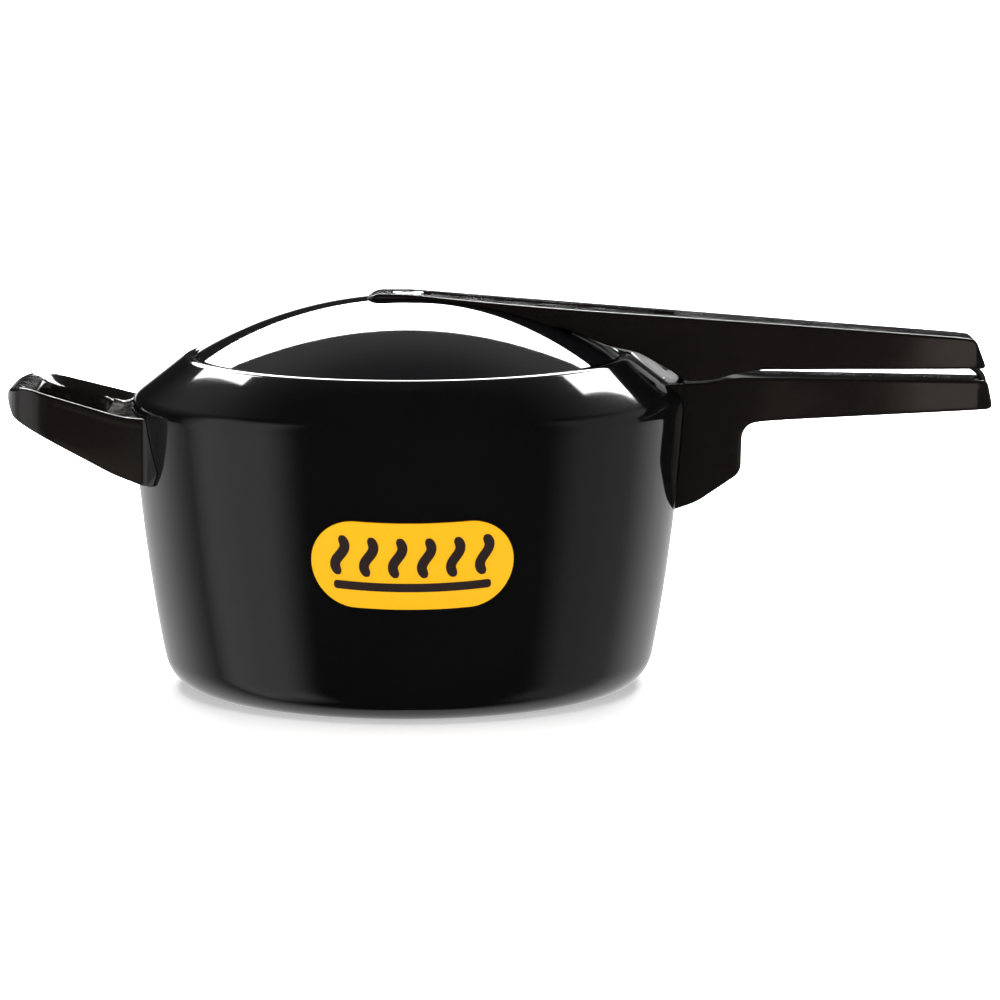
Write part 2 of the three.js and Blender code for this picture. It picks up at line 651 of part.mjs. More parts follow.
/** Place of the safety valve, square to the dome at the back of the lid. */
function onDome(body, lift = 0) {
  const { x, y } = valvePlace;
  const z = domeZ(x, y);
  const rise = z - domeCentreZ;
  const normal = new THREE.Vector3(x / rise, y / rise / MOUTH_OVAL ** 2, 1).normalize();
  return placed(body, new THREE.Vector3(x, y, z).addScaledVector(normal, lift), normal);
}

function lid() {
  const inner = domeCurve(domeR - LID_T, neckR - LID_T);
  const shell = [
    ...inner, [neckR - LID_T, flangeZ - LID_T], [neckR + FLANGE_WIDTH, flangeZ - LID_T],
    [neckR + FLANGE_WIDTH, flangeZ], [neckR, flangeZ],
    ...domeCurve(domeR, neckR).reverse(),
  ];
  const underside = turned([
    [0, flangeZ - 2 * LID_T], [neckR - LID_T, flangeZ - 2 * LID_T], ...inner.slice().reverse(),
  ], RING_STEPS);
  const pan = toOval(turned([[0, flangeZ - LID_T], ...shell.slice(inner.length)], RING_STEPS))
    .subtract(trough(0));
  let body = pan.subtract(toOval(underside).subtract(trough(LID_T)));
  body = body.subtract(cylinder(NOZZLE_R + 1 + GAP, troughZ - 10, troughZ + 5));
  for (const y of barRivetY) body = body.subtract(onBar(rivetHole(barRivetGrip), y));
  body = body.subtract(onDome(cylinder(valveR + GAP, -10, 10, FINE_STEPS)));
  return piece('lid', body, finish.lidBlack);
}

/** The seal ring between the lid's rim and the underside of the lip. */
function seal() {
  const outerR = neckR + FLANGE_WIDTH - 0.6;
  const bevelR = coneTopR - 1.6;
  const body = toOval(turnedRing([
    [neckR + GAP, sealLowZ], [outerR, sealLowZ], [outerR, coneUnder(outerR) - 2 * GAP],
    [bevelR, Math.min(coneUnder(bevelR) - 2 * GAP, sealTopZ)], [lipTopR - 0.5, sealTopZ],
    [neckR + GAP, sealTopZ],
  ], RING_STEPS));
  return piece('lid_seal', body, finish.rubber);
}

function lidBar() {
  let body = fromSide(ribbon(barLine(), 0, BAR_T), BAR_HALF)
    .add(crossPin(KNUCKLE_R, BAR_HALF, fulcrum.x, fulcrum.z));
  for (const y of barRivetY) body = body.subtract(onBar(rivetHole(barRivetGrip), y));
  for (const x of lidScrewX) body = body.subtract(onLidHandle(screwHole(lidScrewLength), x));
  return piece('lid_bar', body, finish.steel);
}

// ---- Lid handle -----------------------------------------------------------------------------------
const lidScrewX = [fulcrum.x + 34, fulcrum.x + 54];
const lidScrewLength = 10;
const wellR = WEIGHT_R + SLIDE_GAP;
const springX = 90;
const springR = 2.6;

/** Place of a screw up through the lid handle into the bar. */
function onLidHandle(body, x) {
  return placed(body, new THREE.Vector3(x, 0, lidHandleUnder + 1.2), new THREE.Vector3(0, 0, 1));
}

/** Room in the lid handle for the lever, its travel and the finger that presses it. */
function leverSlot() {
  const floorStart = topZ(troughEndX) - LEVER_T - 2.6;
  return fromSide(outline([
    [3, troughZ - 1], [troughEndX - 1, troughZ - 1], [troughEndX - 1, floorStart],
    [LEVER_END + 9, topZ(LEVER_END) - LEVER_T - 6.5, 2], [LEVER_END + 9, topZ(0) + 10],
    [3, topZ(0) + 10],
  ]), LEVER_HALF + SLIDE_GAP);
}

/** The lid handle's outer form before anything is cut into it. */
function lidHandleForm() {
  const end = handleEndX;
  const side = outline([
    [-LID_HANDLE_TIP, troughZ + 0.4], [troughEndX, troughZ + 0.4],
    [lipTopR - 8, POT_HEIGHT + 5], [coneTopR + 2, POT_HEIGHT + 2, 3],
    [fulcrum.x + 0.5, fulcrum.z + 2.6, 2], [fulcrum.x + 5, fulcrum.z - 1.6, 2],
    [fulcrum.x + 17, fulcrum.z - 1.2, 6], [fulcrum.x + 34, lidHandleUnder, 8],
    [end, lidHandleUnder, 3], [end - 5, topEnd, 3], [fulcrum.x, topMiddle],
    [CROWN_REACH, topZ(CROWN_REACH)],
    [45, topZ(45)], [18, topZ(18)], [2, topZ(2)], [-LID_HANDLE_TIP + 5, topZ(0) + 0.1, 3],
    [-LID_HANDLE_TIP, topZ(0) - 3.6, 2],
  ]);
  const plan = handlePlan([
    [-LID_HANDLE_TIP, 6], [-LID_HANDLE_TIP + 4, 10.4], [0, 13.6], [30, 17.5], [67, 19.5],
    [BODY_R - 12, 17.6], [BODY_R + 45, 14.6], [end - 12, 13], [end - 2, 11.6], [end + 0.4, 8.5],
  ]);
  return fromSide(side, 26).intersect(fromPlan(plan, 0, 2 * POT_HEIGHT));
}

function lidHandle() {
  const notch = block([lockPin.x - 4.6, -LOCK_HALF - SLIDE_GAP, 0],
    [handleEndX + 5, LOCK_HALF + SLIDE_GAP, lockPin.z + 4.4]);
  const springWell = cylinder(springR + 1.2, topZ(springX) - LEVER_T - 6.6, domeTopZ)
    .translate(springX, 0, 0);
  let body = lidHandleForm().subtract(lidFilled(GAP)).subtract(leverSlot())
    .subtract(cylinder(wellR, troughZ - 5, 2 * POT_HEIGHT))
    .subtract(fromSide(ribbon(barLine(GAP, GAP), -GAP, BAR_T + GAP), BAR_HALF + GAP))
    .subtract(crossPin(KNUCKLE_R + GAP, BAR_HALF + GAP, fulcrum.x, fulcrum.z))
    .subtract(crossPin(PIN_R + GAP, TROUGH_HALF - 1, leverPin.x, leverPin.z, FINE_STEPS))
    .subtract(crossPin(PIN_R + GAP, 9.3, lockPin.x, lockPin.z, FINE_STEPS))
    .subtract(springWell).subtract(notch);
  for (const y of barRivetY) body = body.subtract(onBar(rivetPocket(), y));
  for (const x of lidScrewX) body = body.subtract(onLidHandle(screwHole(lidScrewLength), x));
  return piece('lid_handle', body, finish.phenolic);
}

// ---- Release lever and weight ---------------------------------------------------------------------
const leverTop = (x) => topZ(x) - 0.5;
const padStartX = LEVER_END - 16;
const padT = 1.2;
const weightLowZ = troughZ + 6;
const weightFlangeZ = leverTop(8) - 0.6;

function releaseLever() {
  const bottom = (x) => leverTop(x) - LEVER_T;
  const side = outline([
    [4.6, bottom(8) + 0.4], [leverPin.x - 5, bottom(leverPin.x - 5)],
    [leverPin.x - 3, leverPin.z - 3, 1.5], [leverPin.x + 3, leverPin.z - 3, 1.5],
    [leverPin.x + 5, bottom(leverPin.x + 5)], [LEVER_END, bottom(LEVER_END), 1.5],
    [LEVER_END, leverTop(LEVER_END), 1], [LEVER_END - 1.2, leverTop(LEVER_END)],
    [LEVER_END - 1.6, leverTop(LEVER_END) - padT - GAP],
    [padStartX, leverTop(padStartX) - padT - GAP], [padStartX, leverTop(padStartX)],
    [9.4, leverTop(9.4)], [9.2, weightFlangeZ - 0.9], [4.6, weightFlangeZ - 0.9],
  ]);
  const body = fromSide(side, LEVER_HALF)
    .subtract(crossPin(PIN_R + GAP, LEVER_HALF + 1, leverPin.x, leverPin.z, FINE_STEPS))
    .subtract(cylinder(4.6, troughZ, domeTopZ + 5));
  return piece('release_lever', body, finish.phenolic);
}

/** The dished steel plate under the fingertip. */
function fingerPad() {
  const under = (x) => leverTop(x) - padT;
  const startX = padStartX + GAP;
  const endX = LEVER_END - 1.9;
  const side = new THREE.Shape();
  side.moveTo(startX, under(startX));
  side.lineTo(endX, under(endX));
  side.lineTo(endX, leverTop(endX));
  side.quadraticCurveTo((startX + endX) / 2, under(startX) + 0.2, startX, leverTop(startX));
  side.closePath();
  return piece('finger_pad', fromSide(side, LEVER_HALF - 0.6), finish.steel);
}

/** A close coil of round wire standing under the lever. */
function leverSpring() {
  const turns = 4;
  const wireR = 0.45;
  const low = topZ(springX) - LEVER_T - 6.2 + wireR;
  const height = leverTop(springX) - LEVER_T - GAP - wireR - low;
  class Helix extends THREE.Curve {
    getPoint(t, target = new THREE.Vector3()) {
      const angle = 2 * Math.PI * turns * t;
      return target.set(springX + (springR - wireR) * Math.cos(angle),
        (springR - wireR) * Math.sin(angle), low + height * t);
    }
  }
  const section = new THREE.Shape();
  section.absarc(0, 0, wireR, 0, 2 * Math.PI);
  const geometry = new THREE.ExtrudeGeometry(section, {
    steps: 12 * turns, curveSegments: 3, bevelEnabled: false, extrudePath: new Helix(),
  });
  return piece('lever_spring', solid(geometry), finish.steel);
}

/** The steam nozzle: a collar on the recess floor and a threaded stem through it. */
function ventTube() {
  const bore = 1.2;
  const stem = NOZZLE_R + 1;
  const low = troughZ - LID_T - 5;
  return piece('vent_tube', turnedRing([
    [bore, low], [stem, low], [stem, troughZ + GAP], [stem + 2, troughZ + GAP],
    [stem + 2, troughZ + 2.2], [NOZZLE_R, troughZ + 2.8], [NOZZLE_R - 0.8, weightLowZ - 0.5],
    [bore, weightLowZ - 0.5],
  ]), finish.brass);
}

/** A six-sided nut with a clear hole, hung from a height. */
function nutBody(holeR, across, top, height) {
  return cylinder(across, top - height, top, 6).subtract(cylinder(holeR, top - height - 1, top + 1));
}

function weight() {
  const grip = 4;
  return piece('regulator_weight', turned([
    [0, weightLowZ], [grip - 0.6, weightLowZ], [grip, weightLowZ + 0.8], [grip, weightFlangeZ],
    [WEIGHT_R, weightFlangeZ], [WEIGHT_R, domeTopZ + 1.2], [WEIGHT_R - 1, domeTopZ + 2],
    [0, domeTopZ + 2],
  ]), finish.steel);
}

// ---- Safety valve ---------------------------------------------------------------------------------

function safetyValve() {
  const low = -LID_T - 4.5;
  const body = turned([
    [0, low], [valveR, low], [valveR, GAP], [valveR + 2.6, GAP], [valveR + 2.6, 1.5],
    [valveR + 1.6, 2.2], [0, 2.2],
  ], FINE_STEPS);
  return piece('safety_valve', onDome(body), finish.brass);
}

// ---- Lock -----------------------------------------------------------------------------------------

/** The black link at the far end of the handles, hung in the lid handle, nose in the body handle. */
function lockLink() {
  const { x, z } = lockPin;
  const noseZ = bodyHandleTop - 8;
  const nearX = handleEndX - 2.6;
  const side = outline([
    [x - 2.6, z + 2.6, 2], [x + 3, z + 2.8, 2], [x + 4.5, z - 2, 2],
    [nearX + 3.2, bodyHandleTop, 3], [nearX + 3.2, noseZ, 1], [nearX - 0.6, noseZ, 1],
    [nearX, bodyHandleTop, 3], [x + 0.5, z - 4, 2], [x - 2.8, z - 2.4, 2],
  ]);
  const body = fromSide(side, LOCK_HALF)
    .subtract(crossPin(PIN_R + GAP, LOCK_HALF + 1, x, z, FINE_STEPS));
  return piece('lock_link', body, finish.phenolic);
}

// ---- Assembly ---------------------------------------------------------------------------------------

function cookerBody() {
  const group = new THREE.Group();
  group.add(potBody(), badge(), bodyBracket(), bodyHandle(), helperBracket(), helperHandle());
  bracketRivetZ.forEach((z, i) => {
    group.add(piece(`body_rivet_${i + 1}`, onWall(rivetBody(wallRivetGrip), z, 1), finish.steel));
  });
  helperRivetY.forEach((y, i) => {
    const rivet = onWall(rivetBody(wallRivetGrip), helperRivetZ, -1, y);
    group.add(piece(`helper_rivet_${i + 1}`, rivet, finish.steel));
  });
  bodyScrewX.forEach((x, i) => {
    group.add(piece(`body_screw_${i + 1}`, onTongue(screwBody(bodyScrewLength), x), finish.steel));
  });
  group.add(piece('helper_screw', onHelperFoot(screwBody(helperScrewLength)), finish.steel));
  return group;
}

function lidUnit() {
  const group = new THREE.Group();
  group.add(lid(), seal(), lidBar(), lidHandle(), ventTube(), safetyValve(), leverSpring());
  barRivetY.forEach((y, i) => {
    group.add(piece(`bar_rivet_${i + 1}`, onBar(rivetBody(barRivetGrip), y), finish.steel));
  });
  lidScrewX.forEach((x, i) => {
    const screw = onLidHandle(screwBody(lidScrewLength), x);
    group.add(piece(`lid_screw_${i + 1}`, screw, finish.steel));
  });
  const ventNut = nutBody(NOZZLE_R + 1 + GAP, 7.4, troughZ - LID_T - GAP, 3.4);
  const valveNut = onDome(nutBody(valveR + GAP, 7, -LID_T - HEAD_GAP, 3));
  group.add(piece('vent_nut', ventNut, finish.brass), piece('valve_nut', valveNut, finish.brass));
  const leverPinBody = crossPin(PIN_R, TROUGH_HALF - 1 - GAP, leverPin.x, leverPin.z, FINE_STEPS);
  const lockPinBody = crossPin(PIN_R, 9, lockPin.x, lockPin.z, FINE_STEPS);
  group.add(piece('lever_pin', leverPinBody, finish.steel));
  group.add(piece('lock_pin', lockPinBody, finish.steel));
  return group;
}

const cooker = new THREE.Group();
cooker.add(cookerBody(), lidUnit(), releaseLever(), fingerPad(), weight(), lockLink());

export default cooker;
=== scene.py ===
"""Visual model of a stovetop pressure cooker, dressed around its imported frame.

Every piece is shaped in millimetres, in the frame's own axes, and is brought to metres when it
is dressed: +Z up from the centre of the pot's base, the long handles along +X, the badge at -Y.
"""
import json
import logging
import math
from dataclasses import dataclass, field
from enum import Enum
from typing import Callable, Iterable, Protocol, Sequence

import bmesh
import bpy
from mathutils import Matrix, Vector

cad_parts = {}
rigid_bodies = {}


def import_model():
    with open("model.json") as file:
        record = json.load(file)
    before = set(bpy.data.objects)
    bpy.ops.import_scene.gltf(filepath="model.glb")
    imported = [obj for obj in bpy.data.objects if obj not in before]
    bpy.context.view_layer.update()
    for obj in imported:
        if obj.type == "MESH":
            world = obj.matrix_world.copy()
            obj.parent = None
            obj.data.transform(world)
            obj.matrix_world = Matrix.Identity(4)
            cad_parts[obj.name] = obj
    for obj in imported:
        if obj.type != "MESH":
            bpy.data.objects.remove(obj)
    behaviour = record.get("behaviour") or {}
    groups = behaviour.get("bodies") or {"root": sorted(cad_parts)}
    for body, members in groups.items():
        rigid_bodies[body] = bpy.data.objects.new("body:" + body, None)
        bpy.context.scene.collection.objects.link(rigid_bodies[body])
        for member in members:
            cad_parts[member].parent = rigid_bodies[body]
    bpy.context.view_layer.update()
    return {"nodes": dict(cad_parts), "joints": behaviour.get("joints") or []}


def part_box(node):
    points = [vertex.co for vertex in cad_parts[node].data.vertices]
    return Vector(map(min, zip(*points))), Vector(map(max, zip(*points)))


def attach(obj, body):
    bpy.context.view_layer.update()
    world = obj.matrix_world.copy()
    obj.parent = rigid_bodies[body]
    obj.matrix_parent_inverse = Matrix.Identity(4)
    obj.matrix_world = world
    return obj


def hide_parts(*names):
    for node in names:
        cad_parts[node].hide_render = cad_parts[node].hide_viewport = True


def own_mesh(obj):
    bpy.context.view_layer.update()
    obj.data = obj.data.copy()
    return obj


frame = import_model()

log = logging.getLogger("cooker")

MM = 0.001  # metres in a millimetre
GAP = 0.3  # between pieces that touch
SLIDE_GAP = 0.6  # around pieces that move in a slot
SWING_GAP = 1.7  # between the lid bar and the shoulder that it rocks over
HEAD_GAP = 0.5  # under a flat rivet head on a curved wall
HIDDEN = 20.0  # how far a cutter runs past what it cuts
QUARTER = math.pi / 2
FINE = 256  # facets round the pot and the lid
CUTTER_FACETS = 192  # facets round what is cut from the handles
FASTENER_FACETS = 40
NOISE_SPAN = (0.3, 0.7)  # where nearly all of a noise texture's values lie
UP = Vector((0.0, 0.0, 1.0))
ACROSS = Vector((0.0, 1.0, 0.0))

Point2 = tuple[float, float]
Point3 = tuple[float, float, float]
Colour = Point3
Piece = bpy.types.Object
Warp = Callable[[Vector], Vector]
Socket = bpy.types.NodeSocket


class Body(Enum):
    """The rigid bodies of the frame."""

    COOKER = "cooker_body"
    LID = "lid_unit"
    LEVER = "lever"
    WEIGHT = "weight"
    LOCK = "lock"


class Plane(Enum):
    """The plane that an outline is drawn in."""

    SIDE = "xz"
    PLAN = "xy"
    FRONT = "yz"


class Slot(Enum):
    """The record's material slots."""

    ANODISED = "hard_anodised"
    POLISHED_BLACK = "polished_black"
    PHENOLIC = "phenolic_black"
    STEEL = "polished_steel"
    FASTENER = "bright_fasteners"
    BRASS = "turned_brass"
    RUBBER = "seal_rubber"
    BADGE = "badge_yellow"


# ---- Finishes ---------------------------------------------------------------------------------


class Shader:
    """A material with a principled shader, and short calls for the nodes that feed it."""

    def __init__(self, name: str) -> None:
        """Start a plain material.

        Args:
            name: The material's name.
        """
        self.material = bpy.data.materials.new(name)
        self.material.use_nodes = True
        self.tree = self.material.node_tree
        self.surface = self.tree.nodes["Principled BSDF"]
        self.place = self.tree.nodes.new("ShaderNodeTexCoord").outputs["Object"]

    def fixed(self, **values: object) -> None:
        """Set sockets of the principled shader; an underscore in a name stands for a space."""
        for name, value in values.items():
            self.surface.inputs[name.replace("_", " ")].default_value = value

    def maths(self, operation: str, *values: object) -> Socket:
        """Add one arithmetic node.

        Args:
            operation: Blender's name of the operation.
            values: Sockets or numbers.

        Returns:
            The result.
        """
        return arithmetic(self.tree, operation, *values)

    def stretched(self, scale: Point3) -> Socket:
        """Scale the object's own coordinates.

        Args:
            scale: Factors along X, Y and Z.

        Returns:
            The scaled position.
        """
        node = self.tree.nodes.new("ShaderNodeMapping")
        node.inputs["Scale"].default_value = scale
        self.tree.links.new(self.place, node.inputs["Vector"])
        return node.outputs["Vector"]

    def spun(self, around: float, along: float) -> Socket:
        """Coordinates that run round the Z axis, for the marks that spinning leaves.

        Args:
            around: Scale of the angle round the axis.
            along: Scale of the radius and of the height.

        Returns:
            A vector of angle, radius and height.
        """
        split = self.tree.nodes.new("ShaderNodeSeparateXYZ")
        self.tree.links.new(self.place, split.inputs[0])
        x, y, z = split.outputs
        radius = self.maths("SQRT", self.maths("ADD", self.maths("MULTIPLY", x, x),
                                               self.maths("MULTIPLY", y, y)))
        join = self.tree.nodes.new("ShaderNodeCombineXYZ")
        parts = (self.maths("MULTIPLY", self.maths("ARCTAN2", y, x), around),
                 self.maths("MULTIPLY", radius, along), self.maths("MULTIPLY", z, along))
        for part, socket in zip(parts, join.inputs):
            self.tree.links.new(part, socket)
        return join.outputs[0]

    def noise(self, place: Socket, scale: float, detail: float = 3.0) -> Socket:
        """Add a noise texture.

        Args:
            place: The position to read it at.
            scale: Features per unit.
            detail: Octaves.

        Returns:
            The noise value.
        """
        node = self.tree.nodes.new("ShaderNodeTexNoise")
        node.inputs["Scale"].default_value = scale
        node.inputs["Detail"].default_value = detail
        node.inputs["Roughness"].default_value = 0.6
        self.tree.links.new(place, node.inputs["Vector"])
        return node.outputs["Fac"]

    def glossed(self, value: Socket, rough: Point2) -> None:
        """Let a noise value move the roughness over a range.

        Args:
            value: The noise value.
            rough: The roughness at the low and at the high end of the noise.
        """
        node = self.tree.nodes.new("ShaderNodeMapRange")
        for name, number in zip(("From Min", "From Max", "To Min", "To Max"), (*NOISE_SPAN, *rough)):
            node.inputs[name].default_value = number
        self.tree.links.new(value, node.inputs["Value"])
        self.tree.links.new(node.outputs["Result"], self.surface.inputs["Roughness"])

    def tinted(self, value: Socket, low: Colour, high: Colour) -> None:
        """Let a noise value mix two colours for the base.

        Args:
            value: The noise value.
            low: The colour at 0.
            high: The colour at 1.
        """
        node = self.tree.nodes.new("ShaderNodeMix")
        node.data_type = "RGBA"
        node.inputs["A"].default_value = (*low, 1.0)
        node.inputs["B"].default_value = (*high, 1.0)
        self.tree.links.new(value, node.inputs["Factor"])
        self.tree.links.new(node.outputs["Result"], self.surface.inputs["Base Color"])

    def bump(self, height: Socket, strength: float, depth: float) -> None:
        """Lay a bump over the ones already there.

        Args:
            height: The height value.
            strength: Share of the effect.
            depth: Height of a full step in millimetres.
        """
        node = self.tree.nodes.new("ShaderNodeBump")
        node.inputs["Strength"].default_value = strength
        node.inputs["Distance"].default_value = depth * MM
        self.tree.links.new(height, node.inputs["Height"])
        before = self.surface.inputs["Normal"]
        if before.is_linked:
            self.tree.links.new(before.links[0].from_socket, node.inputs["Normal"])
        self.tree.links.new(node.outputs["Normal"], before)


def arithmetic(tree: bpy.types.NodeTree, operation: str, *values: object) -> Socket:
    """Add one arithmetic node to a tree.

    Args:
        tree: The node tree.
        operation: Blender's name of the operation.
        values: Sockets or numbers.

    Returns:
        The result.
    """
    node = tree.nodes.new("ShaderNodeMath")
    node.operation = operation
    for socket, value in zip(node.inputs, values):
        if isinstance(value, (int, float)):
            socket.default_value = value
        else:
            tree.links.new(value, socket)
    return node.outputs[0]


class Finish(Protocol):
    """Anything that can make a material."""

    def build(self) -> bpy.types.Material:
        """Make the material."""


@dataclass(frozen=True)
class Anodised:
    """Hard-anodised aluminium: near black, satin, with faint spinning marks."""

    name: str = "hard anodised aluminium"
    low: Colour = (0.0022, 0.0022, 0.0025)
    high: Colour = (0.0040, 0.0040, 0.0045)
    gloss: Point2 = (0.045, 0.085)

    def build(self) -> bpy.types.Material:
        """Make the material."""
        shader = Shader(self.name)
        shader.fixed(Metallic=0.0, IOR=1.5)
        shader.tinted(shader.noise(shader.place, 14.0, 4.0), self.low, self.high)
        marks = shader.noise(shader.spun(0.6, 900.0), 1.0)
        wear = shader.noise(shader.place, 60.0, 5.0)
        both = shader.maths("MULTIPLY", shader.maths("ADD", marks, wear), 0.5)
        shader.glossed(both, self.gloss)
        shader.bump(marks, 0.03, 0.01)
        shader.bump(shader.noise(shader.place, 2600.0, 2.0), 0.03, 0.01)
        return shader.material


@dataclass(frozen=True)
class PolishedBlack:
    """Black anodised aluminium, buffed to a mirror, with a trace of polishing haze."""

    name: str = "polished black aluminium"
    clear: Colour = (0.0025, 0.0025, 0.003)
    haze: Colour = (0.005, 0.005, 0.006)
    gloss: Point2 = (0.02, 0.055)

    def build(self) -> bpy.types.Material:
        """Make the material."""
        shader = Shader(self.name)
        shader.fixed(Metallic=0.0, IOR=1.65)
        shader.tinted(shader.noise(shader.place, 22.0, 5.0), self.clear, self.haze)
        swirl = shader.noise(shader.spun(1.4, 420.0), 1.0, 4.0)
        shader.glossed(swirl, self.gloss)
        shader.bump(shader.noise(shader.place, 35.0, 1.0), 0.02, 0.05)
        return shader.material


@dataclass(frozen=True)
class Phenolic:
    """Black phenolic moulding: a warm black with a fine, slightly uneven gloss."""

    name: str = "black phenolic"
    low: Colour = (0.0050, 0.0042, 0.0038)
    high: Colour = (0.0085, 0.0070, 0.0062)
    gloss: Point2 = (0.07, 0.13)

    def build(self) -> bpy.types.Material:
        """Make the material."""
        shader = Shader(self.name)
        shader.fixed(Metallic=0.0, IOR=1.52)
        flow = shader.noise(shader.stretched((6.0, 30.0, 30.0)), 1.0, 5.0)
        shader.tinted(flow, self.low, self.high)
        shader.glossed(shader.noise(shader.place, 90.0, 4.0), self.gloss)
        shader.bump(shader.noise(shader.place, 1400.0, 2.0), 0.03, 0.004)
        shader.bump(shader.noise(shader.place, 120.0, 2.0), 0.03, 0.02)
        return shader.material


@dataclass(frozen=True)
class Steel:
    """Stainless steel, from a mirror to a brushed face, with the grain along X."""

    name: str
    colour: Colour = (0.66, 0.66, 0.67)
    gloss: Point2 = (0.1, 0.2)
    metal: float = 1.0

    def build(self) -> bpy.types.Material:
        """Make the material."""
        shader = Shader(self.name)
        shader.fixed(Metallic=self.metal)
        lines = shader.noise(shader.stretched((40.0, 2400.0, 2400.0)), 1.0)
        dull = tuple(0.82 * part for part in self.colour)
        shader.tinted(lines, self.colour, dull)
        shader.glossed(lines, self.gloss)
        shader.bump(lines, 0.12, 0.02)
        return shader.material


@dataclass(frozen=True)
class Brass:
    """Turned brass with a light tarnish."""

    name: str = "turned brass"
    bright: Colour = (0.66, 0.44, 0.15)
    tarnish: Colour = (0.36, 0.22, 0.08)

    def build(self) -> bpy.types.Material:
        """Make the material."""
        shader = Shader(self.name)
        shader.fixed(Metallic=1.0)
        cloud = shader.noise(shader.place, 240.0, 4.0)
        shader.tinted(cloud, self.bright, self.tarnish)
        rings = shader.noise(shader.spun(0.5, 2600.0), 1.0, 2.0)
        shader.glossed(rings, (0.2, 0.38))
        shader.bump(rings, 0.1, 0.02)
        return shader.material


@dataclass(frozen=True)
class Rubber:
    """Moulded seal rubber with a dusty bloom."""

    name: str = "seal rubber"
    low: Colour = (0.012, 0.012, 0.0125)
    high: Colour = (0.03, 0.03, 0.031)

    def build(self) -> bpy.types.Material:
        """Make the material."""
        shader = Shader(self.name)
        shader.fixed(Metallic=0.0, IOR=1.45)
        bloom = shader.noise(shader.place, 160.0, 5.0)
        shader.tinted(bloom, self.low, self.high)
        shader.glossed(bloom, (0.55, 0.75))
        shader.bump(shader.noise(shader.place, 1800.0, 2.0), 0.15, 0.04)
        return shader.material


@dataclass(frozen=True)
class Print:
    """One colour of a printed and lacquered plate."""

    name: str
    colour: Colour
    shade: Colour

    def build(self) -> bpy.types.Material:
        """Make the material."""
        shader = Shader(self.name)
        shader.fixed(Metallic=0.0, IOR=1.3)
        ink = shader.noise(shader.place, 45.0, 4.0)
        shader.tinted(ink, self.colour, self.shade)
        shader.glossed(shader.noise(shader.place, 300.0), (0.38, 0.5))
        shader.bump(shader.noise(shader.place, 1500.0, 2.0), 0.06, 0.02)
        return shader.material


FINISHES: dict[Slot, Finish] = {
    Slot.ANODISED: Anodised(),
    Slot.POLISHED_BLACK: PolishedBlack(),
    Slot.PHENOLIC: Phenolic(),
    Slot.STEEL: Steel("polished steel", (0.7, 0.7, 0.71), (0.04, 0.09)),
    Slot.FASTENER: Steel("bright steel", (0.5, 0.5, 0.51), (0.2, 0.34)),
    Slot.BRASS: Brass(),
    Slot.RUBBER: Rubber(),
    Slot.BADGE: Print("yellow print", (1.0, 0.49, 0.003), (0.97, 0.465, 0.002)),
}
INK = Print("brown print", (0.022, 0.013, 0.012), (0.03, 0.018, 0.016))
SATIN = Steel("satin steel", (0.95, 0.95, 0.95), (0.3, 0.42), 0.05)


# ---- Mesh building ----------------------------------------------------------------------------


